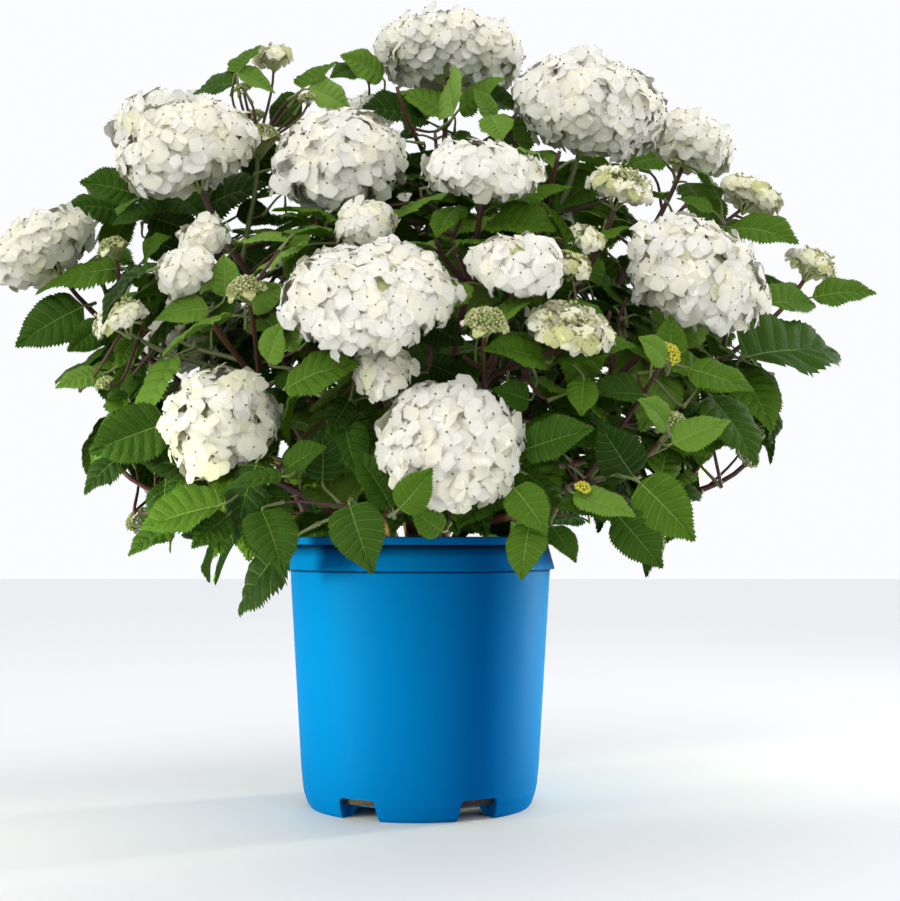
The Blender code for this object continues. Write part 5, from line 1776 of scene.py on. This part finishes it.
def floret(shapes, middle, out, size, tint, dome, folded=0.0, template=outer_sepal):
    """Four or five sepals in two crossed layers round an eye, on a steep head with one hanging."""
    count = 5 if opening.random() < 0.18 else 4
    hanging = out * out.z - UP
    first = hanging.normalized() if hanging.length > 0.6 else across(out, opening.uniform(0, 6.28))
    spin = opening.gauss(0, 0.3)
    for k in range(count):
        way = Quaternion(out, spin + 2 * math.pi * k / count + opening.uniform(-0.2, 0.2)) @ first
        tilt = -0.20 + 0.14 * (k % 2) + folded + opening.uniform(-0.20, 0.20)
        length = size * opening.uniform(0.9, 1.1)
        shapes.append(sepal_shape(template, middle, out, way, length, tilt, tint, dome))
    if template is outer_sepal:
        shapes.append(bead_shape(middle + out * size * 0.07, size * 0.085, EYE_MARK))


def dome_spots(head, spacing, lowest):
    """Places and outward ways over a head's dome, evenly strewn down to a latitude."""
    face_out = UP.rotation_difference(head_axis(head)).to_matrix()
    half, tall = head.width / 2, head.depth / 2
    count = round(22 * (half / spacing) ** 2) + 12
    spots = []
    for k in range(count):
        rise = 1 - (1 - lowest) * (k + 0.5) / count
        turn = k * GOLDEN_TURN + opening.uniform(-0.2, 0.2)
        flat = math.sqrt(max(0, 1 - rise * rise))
        unit = Vector((flat * math.cos(turn), flat * math.sin(turn), rise))
        lump = 1 + HEAD_LUMPS * noise.noise(unit * 2.2 + head_middle(head) * 40)
        local = Vector((unit.x * half, unit.y * half, unit.z * tall * (1 if rise > 0 else 0.8))) * lump
        way = Vector((unit.x / half, unit.y / half, unit.z / tall)).normalized()
        if all((local - other).length > spacing * 0.80 for other, _ in spots):
            spots.append((local, way))
    middle = head_middle(head)
    return [(middle + face_out @ local, (face_out @ way).normalized()) for local, way in spots]


def stalk(shapes, start, end, radius):
    shapes.append(fine_tube([start, start.lerp(end, 0.5) + (end - start).length * 0.06 * UP, end],
                            [radius, radius * 0.8, radius * 0.7], 4, STALK_MARK))


def core_shape(head, share):
    """The closed florets deep in a head, seen only through the gaps, as one lumpy dome."""
    form = bmesh.new()
    bmesh.ops.create_icosphere(form, subdivisions=3, radius=0.5 * share)
    face_out = UP.rotation_difference(head_axis(head)).to_matrix()
    points = []
    for vert in form.verts:
        spot = vert.co * (1 + 0.10 * noise.noise(vert.co * 14 + head_middle(head) * 60))
        if spot.z < 0:
            spot.z *= 0.8
        points.append(head_middle(head) + face_out @ Vector((spot.x * head.width, spot.y * head.width,
                                                             spot.z * head.depth)))
    faces = np.array([tuple(v.index for v in face.verts) for face in form.faces])
    form.free()
    return np.array([tuple(p) for p in points]), faces, np.full(len(faces), CORE_MARK)


TINTS_OF = {
    "full": (0, 0, 0, 0, 1, 1),
    "cream": (0, 0, 1, 1, 1, 2),
    "small": (0, 0, 1, 1, 2),
    "part": (1, 2, 2, 3),
}


def blossom(shapes, head):
    """One open or part-open head with its branches."""
    axis, middle = head_axis(head), head_middle(head)
    foot = middle - axis * head.depth * 0.45
    young = head.bloom == "part"
    spacing = FLORET_SPACING * (0.62 if young else 1) * (0.8 if head.width < 0.06 else 1)
    size = spacing / FLORET_SPACING
    rays = [middle + across(axis, 2 * math.pi * k / RAY_COUNT) * head.width * 0.26
            + axis * head.depth * 0.05 for k in range(RAY_COUNT)]
    for ray in rays:
        stalk(shapes, foot, ray, RAY_RADIUS)
    if not young:
        shapes.append(core_shape(head, CORE_SHARE))
    lowest = YOUNG_DOME_FOOT if young else DOME_FOOT
    spots = [(spot, way, 0) for spot, way in dome_spots(head, spacing, lowest)]
    if head.width > LARGE_HEAD:
        inner = dome_spots(head, spacing * 1.3, INNER_DOME_FOOT)
        spots += [(spot, way, INNER_LAYER) for spot, way in inner]
    for spot, way, depth in spots:
        centre = (spot - middle).dot(axis) > head.depth * 0.25 if young else False
        inset = opening.uniform(0.001, 0.008) * size + depth
        place = spot - way * inset
        tilt = Vector([opening.gauss(0, FLORET_STRAY) for _ in range(3)])
        way = Vector((way.x * OUTWARD, way.y * OUTWARD, max(way.z, LOWEST_FACING))).normalized()
        facing = (way + tilt + UP * 0.05).normalized()
        if centre and opening.random() < 0.7:
            for _ in range(CENTRE_BEADS):
                jitter = Vector([opening.uniform(-0.004, 0.004) for _ in range(3)])
                shapes.append(bead_shape(place + jitter, BEAD * opening.uniform(0.7, 1.2),
                                         BEAD_MARK + opening.choice((0, 1, 1))))
            continue
        tint = opening.choice(TINTS_OF[head.bloom] if depth == 0 else (1, 1, 2))
        floret(shapes, place, facing, opening.uniform(*SEPAL) * size, tint, way, 0.35 if young else 0,
               outer_sepal if depth == 0 else inner_sepal)
        if opening.random() < (YOUNG_STALKS_SEEN if young else STALKS_SEEN):
            nearest = min(rays, key=lambda ray: (ray - place).length)
            stalk(shapes, nearest, place - facing * 0.001, FLORET_STALK_RADIUS)


def bud(shapes, head):
    """A tight head of beads on short branches."""
    axis, middle = head_axis(head), head_middle(head)
    foot = middle - axis * head.depth * 0.5
    marks = (BEAD_MARK + 2,) if head.bloom == "gold" else (BEAD_MARK, BEAD_MARK, BEAD_MARK + 1)
    for spot, way in dome_spots(head, BUD_SPACING, BUD_DOME_FOOT):
        place = spot - way * 0.0015
        shapes.append(bead_shape(place, BEAD * opening.uniform(0.75, 1.25), opening.choice(marks)))
        if opening.random() < 0.35:
            stalk(shapes, foot, place, BUD_STALK_RADIUS)
    if head.width > 0.026:
        for k in range(RIM_FLORETS):
            way = across(axis, 2 * math.pi * k / RIM_FLORETS + opening.uniform(-0.3, 0.3))
            rim = middle + way * head.width * 0.46
            floret(shapes, rim, (way + axis).normalized(), 0.0052, opening.choice((2, 3)), way, 0.4)


petal_shapes = [[] for _ in range(GROUPS)]
for number, head in all_heads + small_heads:
    make = bud if head.bloom in ("bud", "gold") else blossom
    make(petal_shapes[group_of(number)], head)
petal_finishes = [soft_finish(f"petal_{k + 1}", tint, 0.62, 1100, 0.00025, 0.2)
                  for k, tint in enumerate(PETAL_TINTS)]
for finish in petal_finishes:
    shader = finish.node_tree.nodes["Principled BSDF"]
    shader.subsurface_method = "BURLEY"
    shader.inputs["Subsurface Weight"].default_value = PETAL_GLOW
    shader.inputs["Subsurface Radius"].default_value = PETAL_GLOW_COLOUR
    shader.inputs["Subsurface Scale"].default_value = PETAL_GLOW_DEPTH
petal_finishes.append(soft_finish("floret_eye", EYE_TINT, 0.6, 2000, 0.0001))
petal_finishes += [soft_finish(f"bud_{k + 1}", tint, 0.5, 1800, 0.0001)
                   for k, tint in enumerate(BEAD_TINTS)]
petal_finishes.append(soft_finish("flower_stalk", STALK_TINT, 0.55, 1500, 0.0001))
for group in range(GROUPS):
    petals = joined_piece(f"blossom_{group + 1}", petal_shapes[group], petal_finishes, PETAL_SOFTNESS)
    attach(petals, "root")
    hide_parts(*masses_in(group))
